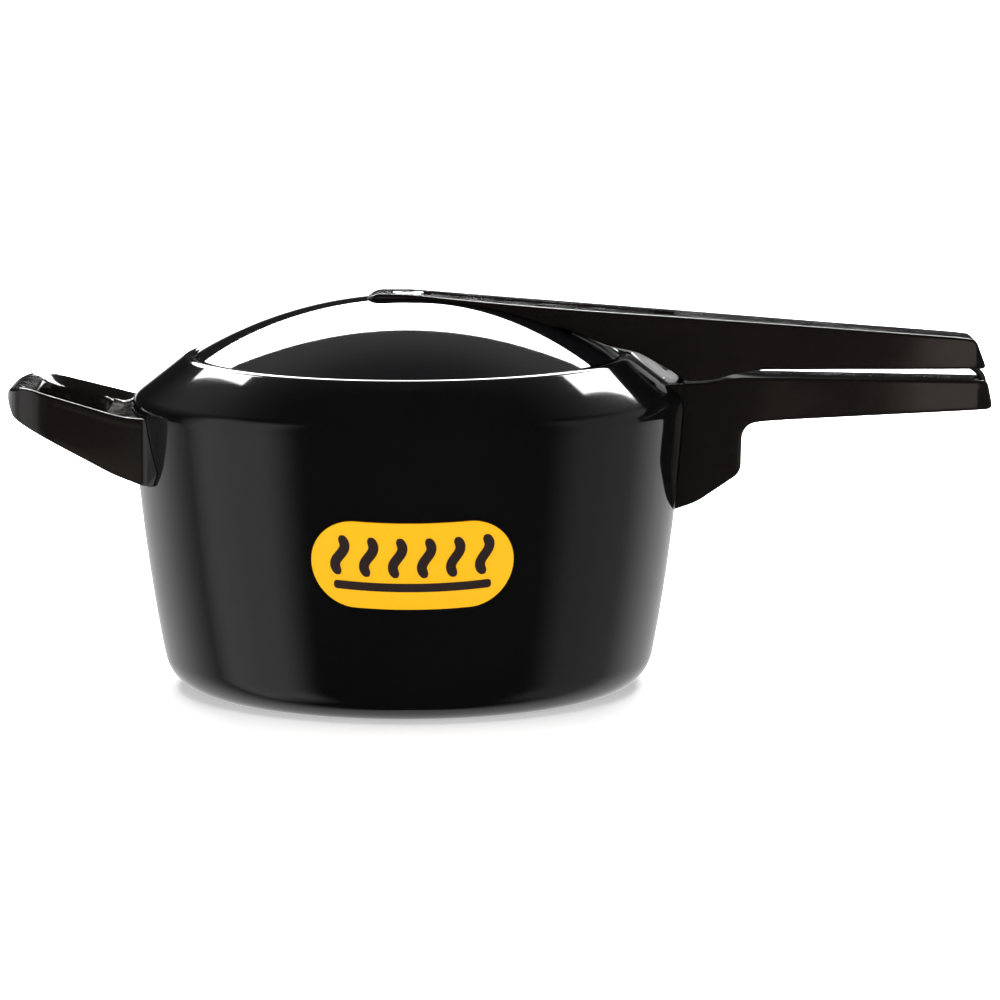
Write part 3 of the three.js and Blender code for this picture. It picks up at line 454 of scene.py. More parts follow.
class Workshop:
    """Makes pieces in millimetres, dresses them and reports them."""

    def __init__(self) -> None:
        """Build each finish once."""
        self.materials = {slot: finish.build() for slot, finish in FINISHES.items()}
        self.ink = INK.build()
        self.satin = SATIN.build()

    def from_bmesh(self, name: str, work: bmesh.types.BMesh) -> Piece:
        """Turn a bmesh into an object with outward faces.

        Args:
            name: The piece's name.
            work: The bmesh, which is freed.

        Returns:
            The new object, linked to the scene.
        """
        bmesh.ops.remove_doubles(work, verts=work.verts, dist=1e-4)
        bmesh.ops.recalc_face_normals(work, faces=work.faces)
        mesh = bpy.data.meshes.new(name)
        work.to_mesh(mesh)
        work.free()
        piece = bpy.data.objects.new(name, mesh)
        bpy.context.scene.collection.objects.link(piece)
        return piece

    def turned(self, name: str, profile: Sequence[Point2], steps: int = 48,
               warp: Warp | None = None) -> Piece:
        """Turn a profile of radius and height about Z.

        Args:
            name: The piece's name.
            profile: Points from end to end; a profile clear of the axis closes on itself.
            steps: Facets round the axis.
            warp: A change of shape for each point.

        Returns:
            The turned piece.
        """
        work = bmesh.new()
        rings: list[list[bmesh.types.BMVert]] = []
        for r, z in profile:
            if r < 1e-6:
                rings.append([work.verts.new((0.0, 0.0, z))])
                continue
            angles = (2 * math.pi * i / steps for i in range(steps))
            rings.append([work.verts.new((r * math.cos(a), r * math.sin(a), z)) for a in angles])
        closed = all(len(ring) > 1 for ring in rings)
        following = rings[1:] + rings[:1] if closed else rings[1:]
        for low, high in zip(rings, following):
            for i in range(steps):
                k = (i + 1) % steps
                corners = [low[i % len(low)], low[k % len(low)], high[k % len(high)], high[i % len(high)]]
                unique = list(dict.fromkeys(corners))
                if len(unique) > 2:
                    work.faces.new(unique)
        if warp:
            for vertex in work.verts:
                vertex.co = warp(vertex.co.copy())
        return self.from_bmesh(name, work)

    def prism(self, name: str, outline: Sequence[Point2], low: float, high: float,
              plane: Plane = Plane.SIDE) -> Piece:
        """Give an outline a depth, with sharp rims.

        Args:
            name: The piece's name.
            outline: The outline.
            low: Where the depth starts along the axis square to the plane.
            high: Where it ends.
            plane: The plane that the outline is drawn in.

        Returns:
            The prism.
        """
        axes = {Plane.SIDE: lambda u, v, w: (u, w, v), Plane.PLAN: lambda u, v, w: (u, v, w),
                Plane.FRONT: lambda u, v, w: (w, u, v)}[plane]
        work = bmesh.new()
        near, far = ([work.verts.new(axes(u, v, w)) for u, v in outline] for w in (low, high))
        work.faces.new(near[::-1])
        work.faces.new(far)
        for i in range(len(near)):
            work.faces.new((near[i - 1], near[i], far[i], far[i - 1]))
        return self.from_bmesh(name, work)

    def moulded(self, name: str, outlines: Sequence[Sequence[Point2]], low: float, high: float,
                edge: float, plane: Plane = Plane.SIDE, rounds: int = 3) -> Piece:
        """Give outlines a depth, with every rim rounded.

        Args:
            name: The piece's name.
            outlines: The outer outline, then any holes in it.
            low: Where the depth starts, along Y for a side outline and Z for a plan.
            high: Where it ends.
            edge: Radius of the rims.
            plane: The plane that the outlines are drawn in.
            rounds: Half the number of facets on a rim, less one.

        Returns:
            The moulded piece.
        """
        curve = bpy.data.curves.new(name, "CURVE")
        curve.dimensions = "2D"
        curve.fill_mode = "BOTH"
        curve.extrude = (high - low) / 2 - edge
        curve.bevel_depth = edge
        curve.bevel_resolution = rounds
        curve.offset = -edge
        for outline in outlines:
            spline = curve.splines.new("POLY")
            spline.points.add(len(outline) - 1)
            for point, (u, v) in zip(spline.points, outline):
                point.co = (u, v, 0.0, 1.0)
            spline.use_cyclic_u = True
        piece = self.from_curve(name, curve)
        middle = (low + high) / 2
        for vertex in piece.data.vertices:
            x, y, z = vertex.co
            vertex.co = (x, middle - z, y) if plane is Plane.SIDE else (x, y, z + middle)
        return piece

    def wired(self, name: str, path: Sequence[Sequence[float]], radius: float) -> Piece:
        """Run a round wire along a path.

        Args:
            name: The piece's name.
            path: Points along its middle.
            radius: Half its thickness.

        Returns:
            The wire.
        """
        curve = bpy.data.curves.new(name, "CURVE")
        curve.dimensions = "3D"
        curve.bevel_depth = radius
        curve.bevel_resolution = 3
        curve.use_fill_caps = True
        spline = curve.splines.new("POLY")
        spline.points.add(len(path) - 1)
        for point, place in zip(spline.points, path):
            point.co = (*place, 1.0)
        return self.from_curve(name, curve)

    def from_curve(self, name: str, curve: bpy.types.Curve) -> Piece:
        """Turn a curve into a mesh piece, and delete the curve.

        Args:
            name: The piece's name.
            curve: The curve, which is deleted.

        Returns:
            The mesh piece.
        """
        source = bpy.data.objects.new(name, curve)
        bpy.context.scene.collection.objects.link(source)
        work = bmesh.new()
        mesh = self.evaluated(source)
        work.from_mesh(mesh)
        bpy.data.meshes.remove(mesh)
        bpy.data.objects.remove(source)
        bpy.data.curves.remove(curve)
        return self.from_bmesh(name, work)

    def evaluated(self, piece: Piece) -> bpy.types.Mesh:
        """The mesh that a piece's curve or modifiers make."""
        bpy.context.view_layer.update()
        return bpy.data.meshes.new_from_object(piece.evaluated_get(bpy.context.evaluated_depsgraph_get()))

    def applied(self, piece: Piece) -> None:
        """Replace a piece's mesh with what its modifiers make of it.

        Args:
            piece: The piece.
        """
        mesh = self.evaluated(piece)
        piece.modifiers.clear()
        old = piece.data
        piece.data = mesh
        bpy.data.meshes.remove(old)

    def sliced(self, piece: Piece, axis: int, places: Iterable[float]) -> None:
        """Cut edge loops across a piece, so that a warp bends it smoothly.

        Args:
            piece: The piece to cut.
            axis: 0, 1 or 2 for X, Y or Z.
            places: Where along that axis.
        """
        work = bmesh.new()
        work.from_mesh(piece.data)
        normal = Vector((0.0, 0.0, 0.0))
        normal[axis] = 1.0
        for place in places:
            bmesh.ops.bisect_plane(work, geom=[*work.verts, *work.edges, *work.faces], dist=1e-4,
                                   plane_co=normal * place, plane_no=normal)
        work.to_mesh(piece.data)
        work.free()

    def warped(self, piece: Piece, warp: Warp) -> None:
        """Move every vertex of a piece."""
        for vertex in piece.data.vertices:
            vertex.co = warp(vertex.co.copy())

    def placed(self, piece: Piece, point: Vector, direction: Vector) -> Piece:
        """Stand a piece made about Z at a point, with its axis along a direction.

        Args:
            piece: The piece, made at the origin.
            point: Its new place.
            direction: Its new axis.

        Returns:
            The same piece.
        """
        turn = UP.rotation_difference(direction)
        piece.data.transform(Matrix.Translation(point) @ turn.to_matrix().to_4x4())
        return piece

    def carved(self, piece: Piece, *cutters: Piece,
               operation: str = "DIFFERENCE") -> Piece:
        """Cut other pieces out of one, and delete them.

        Args:
            piece: The piece that is cut.
            cutters: Closed pieces.
            operation: Blender's name of the boolean.

        Returns:
            The same piece.
        """
        for cutter in cutters:
            modifier = piece.modifiers.new("cut", "BOOLEAN")
            modifier.operation = operation
            modifier.object = cutter
            modifier.solver = "MANIFOLD"
            self.applied(piece)
            bpy.data.objects.remove(cutter)
        return piece

    def rod(self, radius: float, low: float, high: float, steps: int = 32) -> Piece:
        """An upright cutter between two heights."""
        return self.turned("cutter", [(0.0, low), (radius, low), (radius, high), (0.0, high)], steps)

    def cross_rod(self, radius: float, half: float, x: float, z: float) -> Piece:
        """A cutter along Y, centred on the XZ plane."""
        rod = self.rod(radius, -half, half)
        return self.placed(rod, Vector((x, 0.0, z)), ACROSS)

    def box(self, low: Sequence[float], high: Sequence[float]) -> Piece:
        """A rectangular cutter between two corners."""
        plan = [(low[0], low[1]), (high[0], low[1]), (high[0], high[1]), (low[0], high[1])]
        return self.prism("cutter", plan, low[2], high[2], Plane.PLAN)

    def dressed(self, piece: Piece, body: Body, slot: Slot, *nodes: str,
                angle: float = 40.0, material: bpy.types.Material | None = None) -> None:
        """Bring a piece to metres, shade it, give it a finish and hand it to a body.

        Args:
            piece: The piece.
            body: The body that it rides on.
            slot: The record's slot for its finish.
            nodes: The frame's nodes that it stands for.
            angle: Faces that meet at less than this many degrees are shaded smooth.
            material: A material other than the slot's own.
        """
        piece.data.transform(Matrix.Scale(MM, 4))
        piece.data.materials.clear()
        piece.data.materials.append(material or self.materials[slot])
        piece.data.shade_smooth()
        piece.data.set_sharp_from_angle(angle=math.radians(angle))
        weighted = piece.modifiers.new("normals", "WEIGHTED_NORMAL")
        weighted.keep_sharp = True
        self.applied(piece)
        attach(piece, body.value)
        if nodes:
            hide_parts(*nodes)
        log.info("%s on %s, %d faces", piece.name, body.value, len(piece.data.polygons))

    def refinished(self, slot: Slot, *nodes: str) -> None:
        """Give nodes of the frame that keep their shape a finish of their own."""
        for name in nodes:
            for entry in frame["nodes"][name].material_slots:
                entry.material = self.materials[slot]
            log.info("%s keeps its shape, finish %s", name, slot.value)


shop = Workshop()


# ---- Curves -----------------------------------------------------------------------------------


def filleted(points: Sequence[Sequence[float]], steps: int = 8) -> list[Point2]:
    """An outline whose corners are rounded.

    Args:
        points: Corners as (u, v) or (u, v, reach of the round).
        steps: Segments of each round.

    Returns:
        The outline's points.
    """
    outline: list[Point2] = []
    count = len(points)
    for i, (u, v, *rest) in enumerate(points):
        here = Vector((u, v))
        before = Vector(points[i - 1][:2]) - here
        after = Vector(points[(i + 1) % count][:2]) - here
        reach = min(rest[0] if rest else 0.0, 0.48 * before.length, 0.48 * after.length)
        if reach <= 0:
            outline.append((u, v))
            continue
        start = here + before.normalized() * reach
        end = here + after.normalized() * reach
        for t in spread(0.0, 1.0, steps + 1):
            spot = start * (1 - t) ** 2 + here * 2 * t * (1 - t) + end * t ** 2
            outline.append((spot.x, spot.y))
    return outline


def arc(centre: Point2, radius: float, start: float, end: float, steps: int) -> list[Point2]:
    """Points on an arc.

    Args:
        centre: Its centre.
        radius: Its radius.
        start: First angle in radians.
        end: Last angle in radians.
        steps: Segments.

    Returns:
        The points, both ends included.
    """
    return [(centre[0] + radius * math.cos(a), centre[1] + radius * math.sin(a))
            for a in spread(start, end, steps + 1)]


def spread(low: float, high: float, count: int) -> list[float]:
    """Evenly spaced values from one to another, both included."""
    return [low + (high - low) * i / (count - 1) for i in range(count)]


def smooth(t: float) -> float:
    """A smooth step from 0 to 1."""
    t = min(max(t, 0.0), 1.0)
    return t * t * (3 - 2 * t)


def eased(stations: Sequence[Point2], x: float) -> float:
    """A smooth curve through stations of position and value.

    Args:
        stations: Positions in rising order, with their values.
        x: Where to read the curve.

    Returns:
        The value there.
    """
    x = min(max(x, stations[0][0]), stations[-1][0])
    i = next(k for k in range(len(stations) - 1) if x <= stations[k + 1][0])
    (x0, v0), (x1, v1) = stations[i], stations[i + 1]
    xa, va = stations[max(i - 1, 0)]
    xb, vb = stations[min(i + 2, len(stations) - 1)]
    span = x1 - x0
    t = (x - x0) / span
    low = span * (v1 - va) / (x1 - xa)
    high = span * (vb - v0) / (xb - x0)
    return (v0 * (1 + 2 * t) * (1 - t) ** 2 + low * t * (1 - t) ** 2
            + v1 * t * t * (3 - 2 * t) + high * t * t * (t - 1))


def along(line: Sequence[Point2], x: float) -> float:
    """Height of a line of rising positions at one of them."""
    for (x0, z0), (x1, z1) in zip(line, line[1:]):
        if x <= x1:
            return z0 + (z1 - z0) * max((x - x0) / max(x1 - x0, 1e-6), 0.0)
    return line[-1][1]


def ribbon(line: Sequence[Point2], below: float, above: float,
           taper: Callable[[float], float] = lambda share: 1.0) -> list[Point2]:
    """The outline of a strip that follows a line.

    Args:
        line: The line's points.
        below: Offset of one side, to the left of the line's run.
        above: Offset of the other.
        taper: Share of the offsets, from -1 at the line's start to 1 at its end.

    Returns:
        The outline's points.
    """
    spots = [Vector(point) for point in line]
    sides: tuple[list[Point2], list[Point2]] = ([], [])
    for i, spot in enumerate(spots):
        run = (spots[min(i + 1, len(spots) - 1)] - spots[max(i - 1, 0)]).normalized()
        share = taper(2 * i / (len(spots) - 1) - 1)
        for side, offset in zip(sides, (below * share, above * share)):
            side.append((spot.x - run.y * offset, spot.y + run.x * offset))
    return sides[0] + sides[1][::-1]


def threaded(radius: float, low: float, high: float, pitch: float = 0.8) -> list[Point2]:
    """The profile of a screw thread, from its low end to its high end.

    Args:
        radius: Its outside radius.
        low: Where it starts.
        high: Where it ends.
        pitch: From crest to crest.

    Returns:
        Points of radius and height.
    """
    count = max(int((high - low) / pitch), 1)
    step = (high - low) / count
    profile: list[Point2] = []
    for i in range(count):
        z = low + i * step
        profile += [(radius - 0.35 * pitch, z), (radius, z + 0.5 * step)]
    return profile + [(radius - 0.35 * pitch, high)]


# ---- The layout -------------------------------------------------------------------------------


def joint_place(name: str) -> Point2:
    """X and Z of a joint of the frame."""
    place = next(joint["pos_m"] for joint in frame["joints"] if joint["name"] == name)
    return place[0] / MM, place[2] / MM


def node_top(node: str) -> float:
    """Highest Z of a node of the frame."""
    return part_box(node)[1][2] / MM


@dataclass
class PotShape:
    """The pot's curve from base to lip, which everything else sits on."""

    wall: float = 3.25
    base_r: float = 89.8
    corner_r: float = 17.5
    shoulder_r: float = 9.0
    slope: float = math.radians(38.0)
    lip_r: float = 5.0
    mouth_r: float = 93.4
    oval: float = 1.06
    tilt_low: float = math.radians(11.0)
    tilt_high: float = math.radians(4.0)
    body_r: float = field(init=False)
    height: float = field(init=False)

    def __post_init__(self) -> None:
        """Take the overall sizes from the frame and work out the curve's key points."""
        self.body_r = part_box("pot_body")[1][0] / MM
        self.height = node_top("pot_body")
        self.lip_top_r = self.mouth_r + self.wall / 2
        self.cone_top = (self.lip_top_r + self.lip_r * math.sin(self.slope),
                         self.height - self.lip_r * (1 - math.cos(self.slope)))
        centre_r = self.body_r - self.shoulder_r
        low_r = centre_r + self.shoulder_r * math.sin(self.slope)
        self.shoulder = (centre_r, self.cone_z(low_r) - self.shoulder_r * math.cos(self.slope))

    def cone_z(self, r: float) -> float:
        """Height of the sloping shoulder at a radius."""
        return self.cone_top[1] - (r - self.cone_top[0]) * math.tan(self.slope)

    def curve(self, inset: float) -> list[Point2]:
        """The pot's outside curve moved inwards.

        Args:
            inset: Distance inwards; negative moves it outwards.

        Returns:
            Points from the axis at the base to the crest of the lip.
        """
        corner = self.corner_r - inset
        shoulder = self.shoulder_r - inset
        start = Vector((self.base_r + corner * math.cos(self.tilt_low),
                        self.corner_r - corner * math.sin(self.tilt_low)))
        end = Vector((self.shoulder[0] + shoulder * math.cos(self.tilt_high),
                      self.shoulder[1] - shoulder * math.sin(self.tilt_high)))
        third = (end - start).length / 3
        lift = Vector((math.sin(self.tilt_low), math.cos(self.tilt_low))) * third
        drop = Vector((math.sin(self.tilt_high), math.cos(self.tilt_high))) * third
        points: list[Point2] = [(r, inset) for r in spread(0.0, self.base_r, 8)[:-1]]
        points += arc((self.base_r, self.corner_r), corner, -QUARTER, -self.tilt_low, 14)
        for t in spread(0.0, 1.0, 26)[1:-1]:
            spot = (start * (1 - t) ** 3 + (start + lift) * 3 * t * (1 - t) ** 2
                    + (end - drop) * 3 * t * t * (1 - t) + end * t ** 3)
            points.append((spot.x, spot.y))
        points += arc(self.shoulder, shoulder, -self.tilt_high, QUARTER - self.slope, 12)
        lip = arc((self.lip_top_r, self.height - self.lip_r), self.lip_r - inset,
                  QUARTER - self.slope, QUARTER, 8)
        (low_r, low_z), (high_r, high_z) = points[-1], lip[0]
        for t in spread(0.0, 1.0, 9)[1:-1]:
            points.append((low_r + (high_r - low_r) * t, low_z + (high_z - low_z) * t))
        return points + lip

    def wall_r(self, z: float) -> float:
        """Outside radius of the wall at a height, below the shoulder."""
        upright = self.curve(0.0)[7:]
        return along([(height, r) for r, height in upright], z)

    def wall_normal(self, z: float, side: int) -> Vector:
        """The outward normal of the wall at a height, towards +X or -X."""
        lean = math.atan2(self.wall_r(z + 1) - self.wall_r(z - 1), 2.0)
        return Vector((side * math.cos(lean), 0.0, -math.sin(lean)))

    def to_oval(self, point: Vector) -> Vector:
        """Stretch a point along Y towards the oval mouth."""
        t = smooth((point.z - self.shoulder[1]) / (self.height - self.shoulder[1]))
        return Vector((point.x, point.y * (1 + (self.oval - 1) * t), point.z))

    def filled(self, grown: float) -> Piece:
        """The pot's outside as a solid cutter, grown by a clearance."""
        profile = self.curve(-grown) + [(0.0, self.height + grown)]
        return shop.turned("cutter", profile, CUTTER_FACETS, self.to_oval)


@dataclass
class Layout:
    """Key places of the lid and the handles, from the frame's boxes and joints."""

    pot: PotShape
    lid_wall: float = 3.0
    neck_gap: float = 1.4
    seal_height: float = 5.0
    flange_width: float = 8.4
    trough_half: float = 11.0
    trough_depth: float = 12.5
    knuckle_r: float = 3.2
    bar_thick: float = 3.6
    bar_half: float = 10.0
    bar_tail: float = 64.0
    bar_rivet_y: Point2 = (-5.2, 5.2)
    lever_thick: float = 3.2
    lever_half: float = 6.4
    lever_end: float = 107.0
    pin_r: float = 1.5
    lock_half: float = 3.6
    top_proud: float = 0.9
    top_over_lip: float = 17.6
    crown: float = 1.0
    crown_reach: float = 90.0
    end_thick: float = 12.2
    handle_space: float = 4.6
    under_sag: float = 0.7
    bar_sag: float = 0.9

    def __post_init__(self) -> None:
        """Work out the places that the pieces share."""
        pot = self.pot
        self.fulcrum = joint_place("lid_tilt")
        self.lever_pin = joint_place("lever_press")
        self.lock_pin = joint_place("lock_swing")
        self.dome_top = node_top("lid")
        self.neck_r = pot.mouth_r - self.neck_gap
        rise = self.dome_top - pot.height
        self.dome_r = (self.neck_r ** 2 + rise ** 2) / (2 * rise)
        self.dome_centre = self.dome_top - self.dome_r
        self.seal_top = pot.height - pot.wall - GAP
        self.flange_z = self.seal_top - self.seal_height - GAP
        self.trough_z = self.dome_top - self.trough_depth
        self.trough_end = math.sqrt(self.dome_r ** 2 - (self.trough_z - self.dome_centre) ** 2)
        self.handle_end = self.lock_pin[0] + 11.0
        self.lid_under = self.lock_pin[1] - 4.8
        self.body_top = self.lid_under - self.handle_space
        self.bar_start = self.trough_end + 5.6
        self.spring_x = sum(corner[0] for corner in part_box("lever_spring")) / 2 / MM

    def dome_z(self, x: float, y: float = 0.0) -> float:
        """Height of the dome's outside over a point."""
        across = y / self.pot.oval
        return self.dome_centre + math.sqrt(self.dome_r ** 2 - x ** 2 - across ** 2)

    def top_z(self, x: float) -> float:
        """Height of the lid handle's top line.

        Args:
            x: Where along the handle.

        Returns:
            The height.
        """
        start, end = self.dome_top + self.top_proud, self.lid_under + self.end_thick
        middle = self.pot.height + self.top_over_lip
        if x < self.fulcrum[0]:
            rise = self.crown * max(0.0, 1 - x / self.crown_reach) ** 2
            return start + (middle - start) * x / self.fulcrum[0] + rise
        share = (x - self.fulcrum[0]) / (self.handle_end - self.fulcrum[0])
        return middle + (end - middle) * share

    def lever_top(self, x: float) -> float:
        """Height of the release lever's top."""
        return self.top_z(x) - 0.5

    def dome_curve(self, radius: float, outer_r: float, steps: int = 28) -> list[Point2]:
        """Points down a dome of one radius, from the crown to the neck.

        Args:
            radius: The dome's radius.
            outer_r: Radius of the neck.
            steps: Segments.

        Returns:
            The points.
        """
        sweep = math.asin(outer_r / radius)
        return [(radius * math.sin(a), self.dome_centre + radius * math.cos(a))
                for a in spread(0.0, sweep, steps + 1)]

    def bar_line(self, start: float = 0.0, end: float = 0.0) -> list[Point2]:
        """The underside of the lid bar, from the dome to inside the handle.

        Args:
            start: Extra length at the dome.
            end: Extra length in the handle.

        Returns:
            The line's points.
        """
        pot, (x, z) = self.pot, self.fulcrum
        clear = SWING_GAP / math.cos(pot.slope) - self.bar_sag
        over = pot.height + SWING_GAP
        lip, cone = pot.lip_top_r, pot.cone_top[0]
        return [
            (self.bar_start - start, self.dome_z(self.bar_start) + GAP),
            (lip - 11, self.dome_z(lip - 11) + GAP), (lip - 2, over + 0.4), (cone - 0.5, over - 0.6),
            (cone + 4, pot.cone_z(cone + 4) + clear), (x - 4, pot.cone_z(x - 4) + clear - 0.3),
            (x + 1.5, z), (x + 6, z + 1.5), (x + 22, z + 7.5), (x + self.bar_tail + end, z + 9.5),
        ]

    def on_bar(self, piece: Piece, y: float) -> Piece:
        """Place a piece on the lid bar's rivet line.

        Args:
            piece: The piece, made at the origin.
            y: How far off the bar's middle.

        Returns:
            The same piece.
        """
        x = self.bar_start + 8
        normal = Vector((x / self.dome_r, 0.0, math.sqrt(1 - (x / self.dome_r) ** 2)))
        point = Vector((x, y, self.dome_z(x))) + normal * (GAP + self.bar_thick)
        return shop.placed(piece, point, normal)


# ---- Fasteners --------------------------------------------------------------------------------


@dataclass(frozen=True)
class Rivet:
    """A round-headed rivet and the room that it needs, about Z with its outer head at 0."""

    grip: float
    radius: float = 2.4
    head_r: float = 4.4
    head_h: float = 1.2

    def head(self, z: float, up: int) -> list[Point2]:
        """The dome of one head, from its rim to the axis.

        Args:
            z: Height of its flat face.
            up: 1 for a head that points up, -1 for one that points down.

        Returns:
            Points of radius and height.
        """
        rim = [(self.head_r - 0.15, z), (self.head_r, z + 0.15 * up)]
        rise = self.head_h - 0.3
        return rim + [(self.head_r * math.cos(a), z + up * (0.3 + rise * math.sin(a)))
                      for a in spread(0.0, QUARTER, 7)[:-1]] + [(0.0, z + up * self.head_h)]

    def build(self, name: str) -> Piece:
        """Make the rivet."""
        low, high = -self.grip - HEAD_GAP, HEAD_GAP
        profile = self.head(low, -1)[::-1] + [(self.radius, low), (self.radius, high)]
        return shop.turned(name, profile + self.head(high, 1), FASTENER_FACETS)

    def hole(self) -> Piece:
        """The hole that it passes through."""
        return shop.rod(self.radius + GAP, -self.grip - 2, 2)

    def pocket(self) -> Piece:
        """The room for its outer head in a piece that covers it."""
        return shop.rod(self.head_r + GAP, -GAP, self.head_h + HEAD_GAP + GAP)


@dataclass(frozen=True)
class Screw:
    """A cross-headed screw about Z, its head down at 0 and its point up."""

    length: float
    radius: float = 2.0
    head_r: float = 4.0
    head_h: float = 2.4

    def build(self, name: str) -> Piece:
        """Make the screw.

        Args:
            name: The piece's name.

        Returns:
            The screw.
        """
        head = [(0.0, 0.0), (self.head_r - 0.6, 0.0), (self.head_r - 0.17, 0.17),
                (self.head_r, 0.6), (self.head_r, self.head_h)]
        thread = threaded(self.radius, self.head_h, self.length - 1)
        tip = [(self.radius - 0.8, self.length), (0.0, self.length)]
        screw = shop.turned(name, head + thread + tip, FASTENER_FACETS)
        arms = [shop.box((-a, -b, -1.0), (a, b, 1.3)) for a, b in ((1.9, 0.4), (0.4, 1.9))]
        return shop.carved(screw, *arms)

    def hole(self) -> Piece:
        """The stepped hole for it, open below."""
        wide, narrow = self.head_r + GAP, self.radius + GAP
        step = self.head_h + GAP
        return shop.turned("cutter", [
            (0.0, -HIDDEN), (wide, -HIDDEN), (wide, step), (narrow, step),
            (narrow, self.length + GAP), (0.0, self.length + GAP)], FASTENER_FACETS)


def fastened(kind: Rivet | Screw, placed: Callable[[Piece, float], Piece], spots: Sequence[float],
             body: Body, name: str, node: str) -> None:
    """Make a row of like fasteners.

    Args:
        kind: The fastener.
        placed: Puts one of them at a spot.
        spots: Where they go.
        body: The body that they ride on.
        name: The pieces' name, before their number.
        node: The name of the frame's nodes that they stand for, before its number.
    """
    for i, spot in enumerate(spots, 1):
        piece = placed(kind.build(f"{name}_{i}"), spot)
        shop.dressed(piece, body, Slot.FASTENER, f"{node}_{i}")


# ---- The pot and its badge --------------------------------------------------------------------


@dataclass
class Pot:
    """The pot body with its base and its two wall brackets."""

    shape: PotShape
    base_hollow: float = 0.4
    hollow_r: float = 78.0

    def build(self) -> None:
        """Make the pot and finish its brackets."""
        shape = self.shape
        edge = arc((shape.lip_top_r, shape.height - shape.wall / 2), shape.wall / 2,
                   QUARTER, 3 * QUARTER, 10)[1:-1]
        outside = shape.curve(0.0)
        base = [(0.0, self.base_hollow), (self.hollow_r, self.base_hollow), (self.hollow_r + 1.5, 0.0)]
        outside = base + [point for point in outside if point[0] > self.hollow_r + 2]
        inside = shape.curve(shape.wall)[::-1]
        body = shop.turned("pot_shell", outside + edge + inside, FINE, shape.to_oval)
        shop.dressed(body, Body.COOKER, Slot.ANODISED, "pot_body", angle=60.0)
        shop.refinished(Slot.STEEL, "body_bracket", "helper_bracket")


@dataclass
class Badge:
    """The yellow plate on the front, with a plain sign of rising steam."""

    shape: PotShape
    thick: float = 0.8
    bend: float = 2.2
    stroke: float = 2.1
    waves: int = 6
    wave_pitch: float = 12.0
    wave_height: float = 16.4
    wave_swing: float = 2.0
    wave_rise: float = 3.6
    line_half: float = 32.6
    line_low: float = -10.8
    line_high: float = -7.2
    ink_sunk: float = 0.1
    ink_proud: float = 0.14

    def __post_init__(self) -> None:
        """Take the plate's place and size from its node."""
        low, high = (Vector(corner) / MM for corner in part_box("badge_plate"))
        self.half_width = (high.x - low.x) / 2
        self.x = (high.x + low.x) / 2
        self.z = low.z + (high.z - low.z) / 2 - self.bend / 4
        self.half_height = self.z - low.z

    def on_wall(self, point: Vector) -> Vector:
        """Wrap a flat point round the wall; its Y is the height above it."""
        across = point.x / self.half_width
        x, z = self.x + point.x, self.z + point.z + self.bend * across ** 2
        r = self.shape.wall_r(z) + point.y
        return Vector((x, -math.sqrt(r * r - x ** 2), z))

    def laid(self, name: str, outline: list[Point2], low: float, high: float,
             edge: float) -> Piece:
        """Lay a flat outline on the wall.

        Args:
            name: The piece's name.
            outline: Its outline about the plate's centre.
            low: Height of its back over the wall.
            high: Height of its face over the wall.
            edge: Radius of its rim.

        Returns:
            The curved piece.
        """
        piece = shop.moulded(name, [outline], low, high, edge)
        shop.sliced(piece, 0, spread(-self.half_width, self.half_width, 46))
        shop.sliced(piece, 2, spread(-self.half_height, self.half_height, 9)[1:-1])
        shop.warped(piece, self.on_wall)
        return piece

    def wave(self, x: float) -> list[Point2]:
        """The outline of one wavy stroke with rounded ends.

        Args:
            x: Its place along the plate.

        Returns:
            The outline's points.
        """
        line = [(x + self.wave_swing * math.sin(math.pi * t), self.wave_rise + self.wave_height / 2 * t)
                for t in spread(-1.0, 1.0, 33)]
        return ribbon(line, self.stroke, -self.stroke, lambda share: math.sqrt(max(1 - share ** 8, 0.02)))

    def build(self) -> None:
        """Make the plate and its sign."""
        straight = self.half_width - self.half_height
        plate = (arc((straight, 0.0), self.half_height, -QUARTER, QUARTER, 32)
                 + arc((-straight, 0.0), self.half_height, QUARTER, 3 * QUARTER, 32))
        top = GAP + self.thick
        piece = self.laid("badge_face", plate, GAP, top, 0.35)
        shop.dressed(piece, Body.COOKER, Slot.BADGE, "badge_plate", angle=60.0)
        half, low, high = self.line_half, self.line_low, self.line_high
        marks = {f"badge_wave_{i + 1}": self.wave((i - (self.waves - 1) / 2) * self.wave_pitch)
                 for i in range(self.waves)}
        marks["badge_line"] = filleted([(-half, low, 1.7), (half, low, 1.7), (half, high, 1.7),
                                        (-half, high, 1.7)])
        for name, outline in marks.items():
            mark = self.laid(name, outline, top - self.ink_sunk, top + self.ink_proud, 0.05)
            shop.dressed(mark, Body.COOKER, Slot.BADGE, material=shop.ink, angle=60.0)


# ---- The body handle --------------------------------------------------------------------------


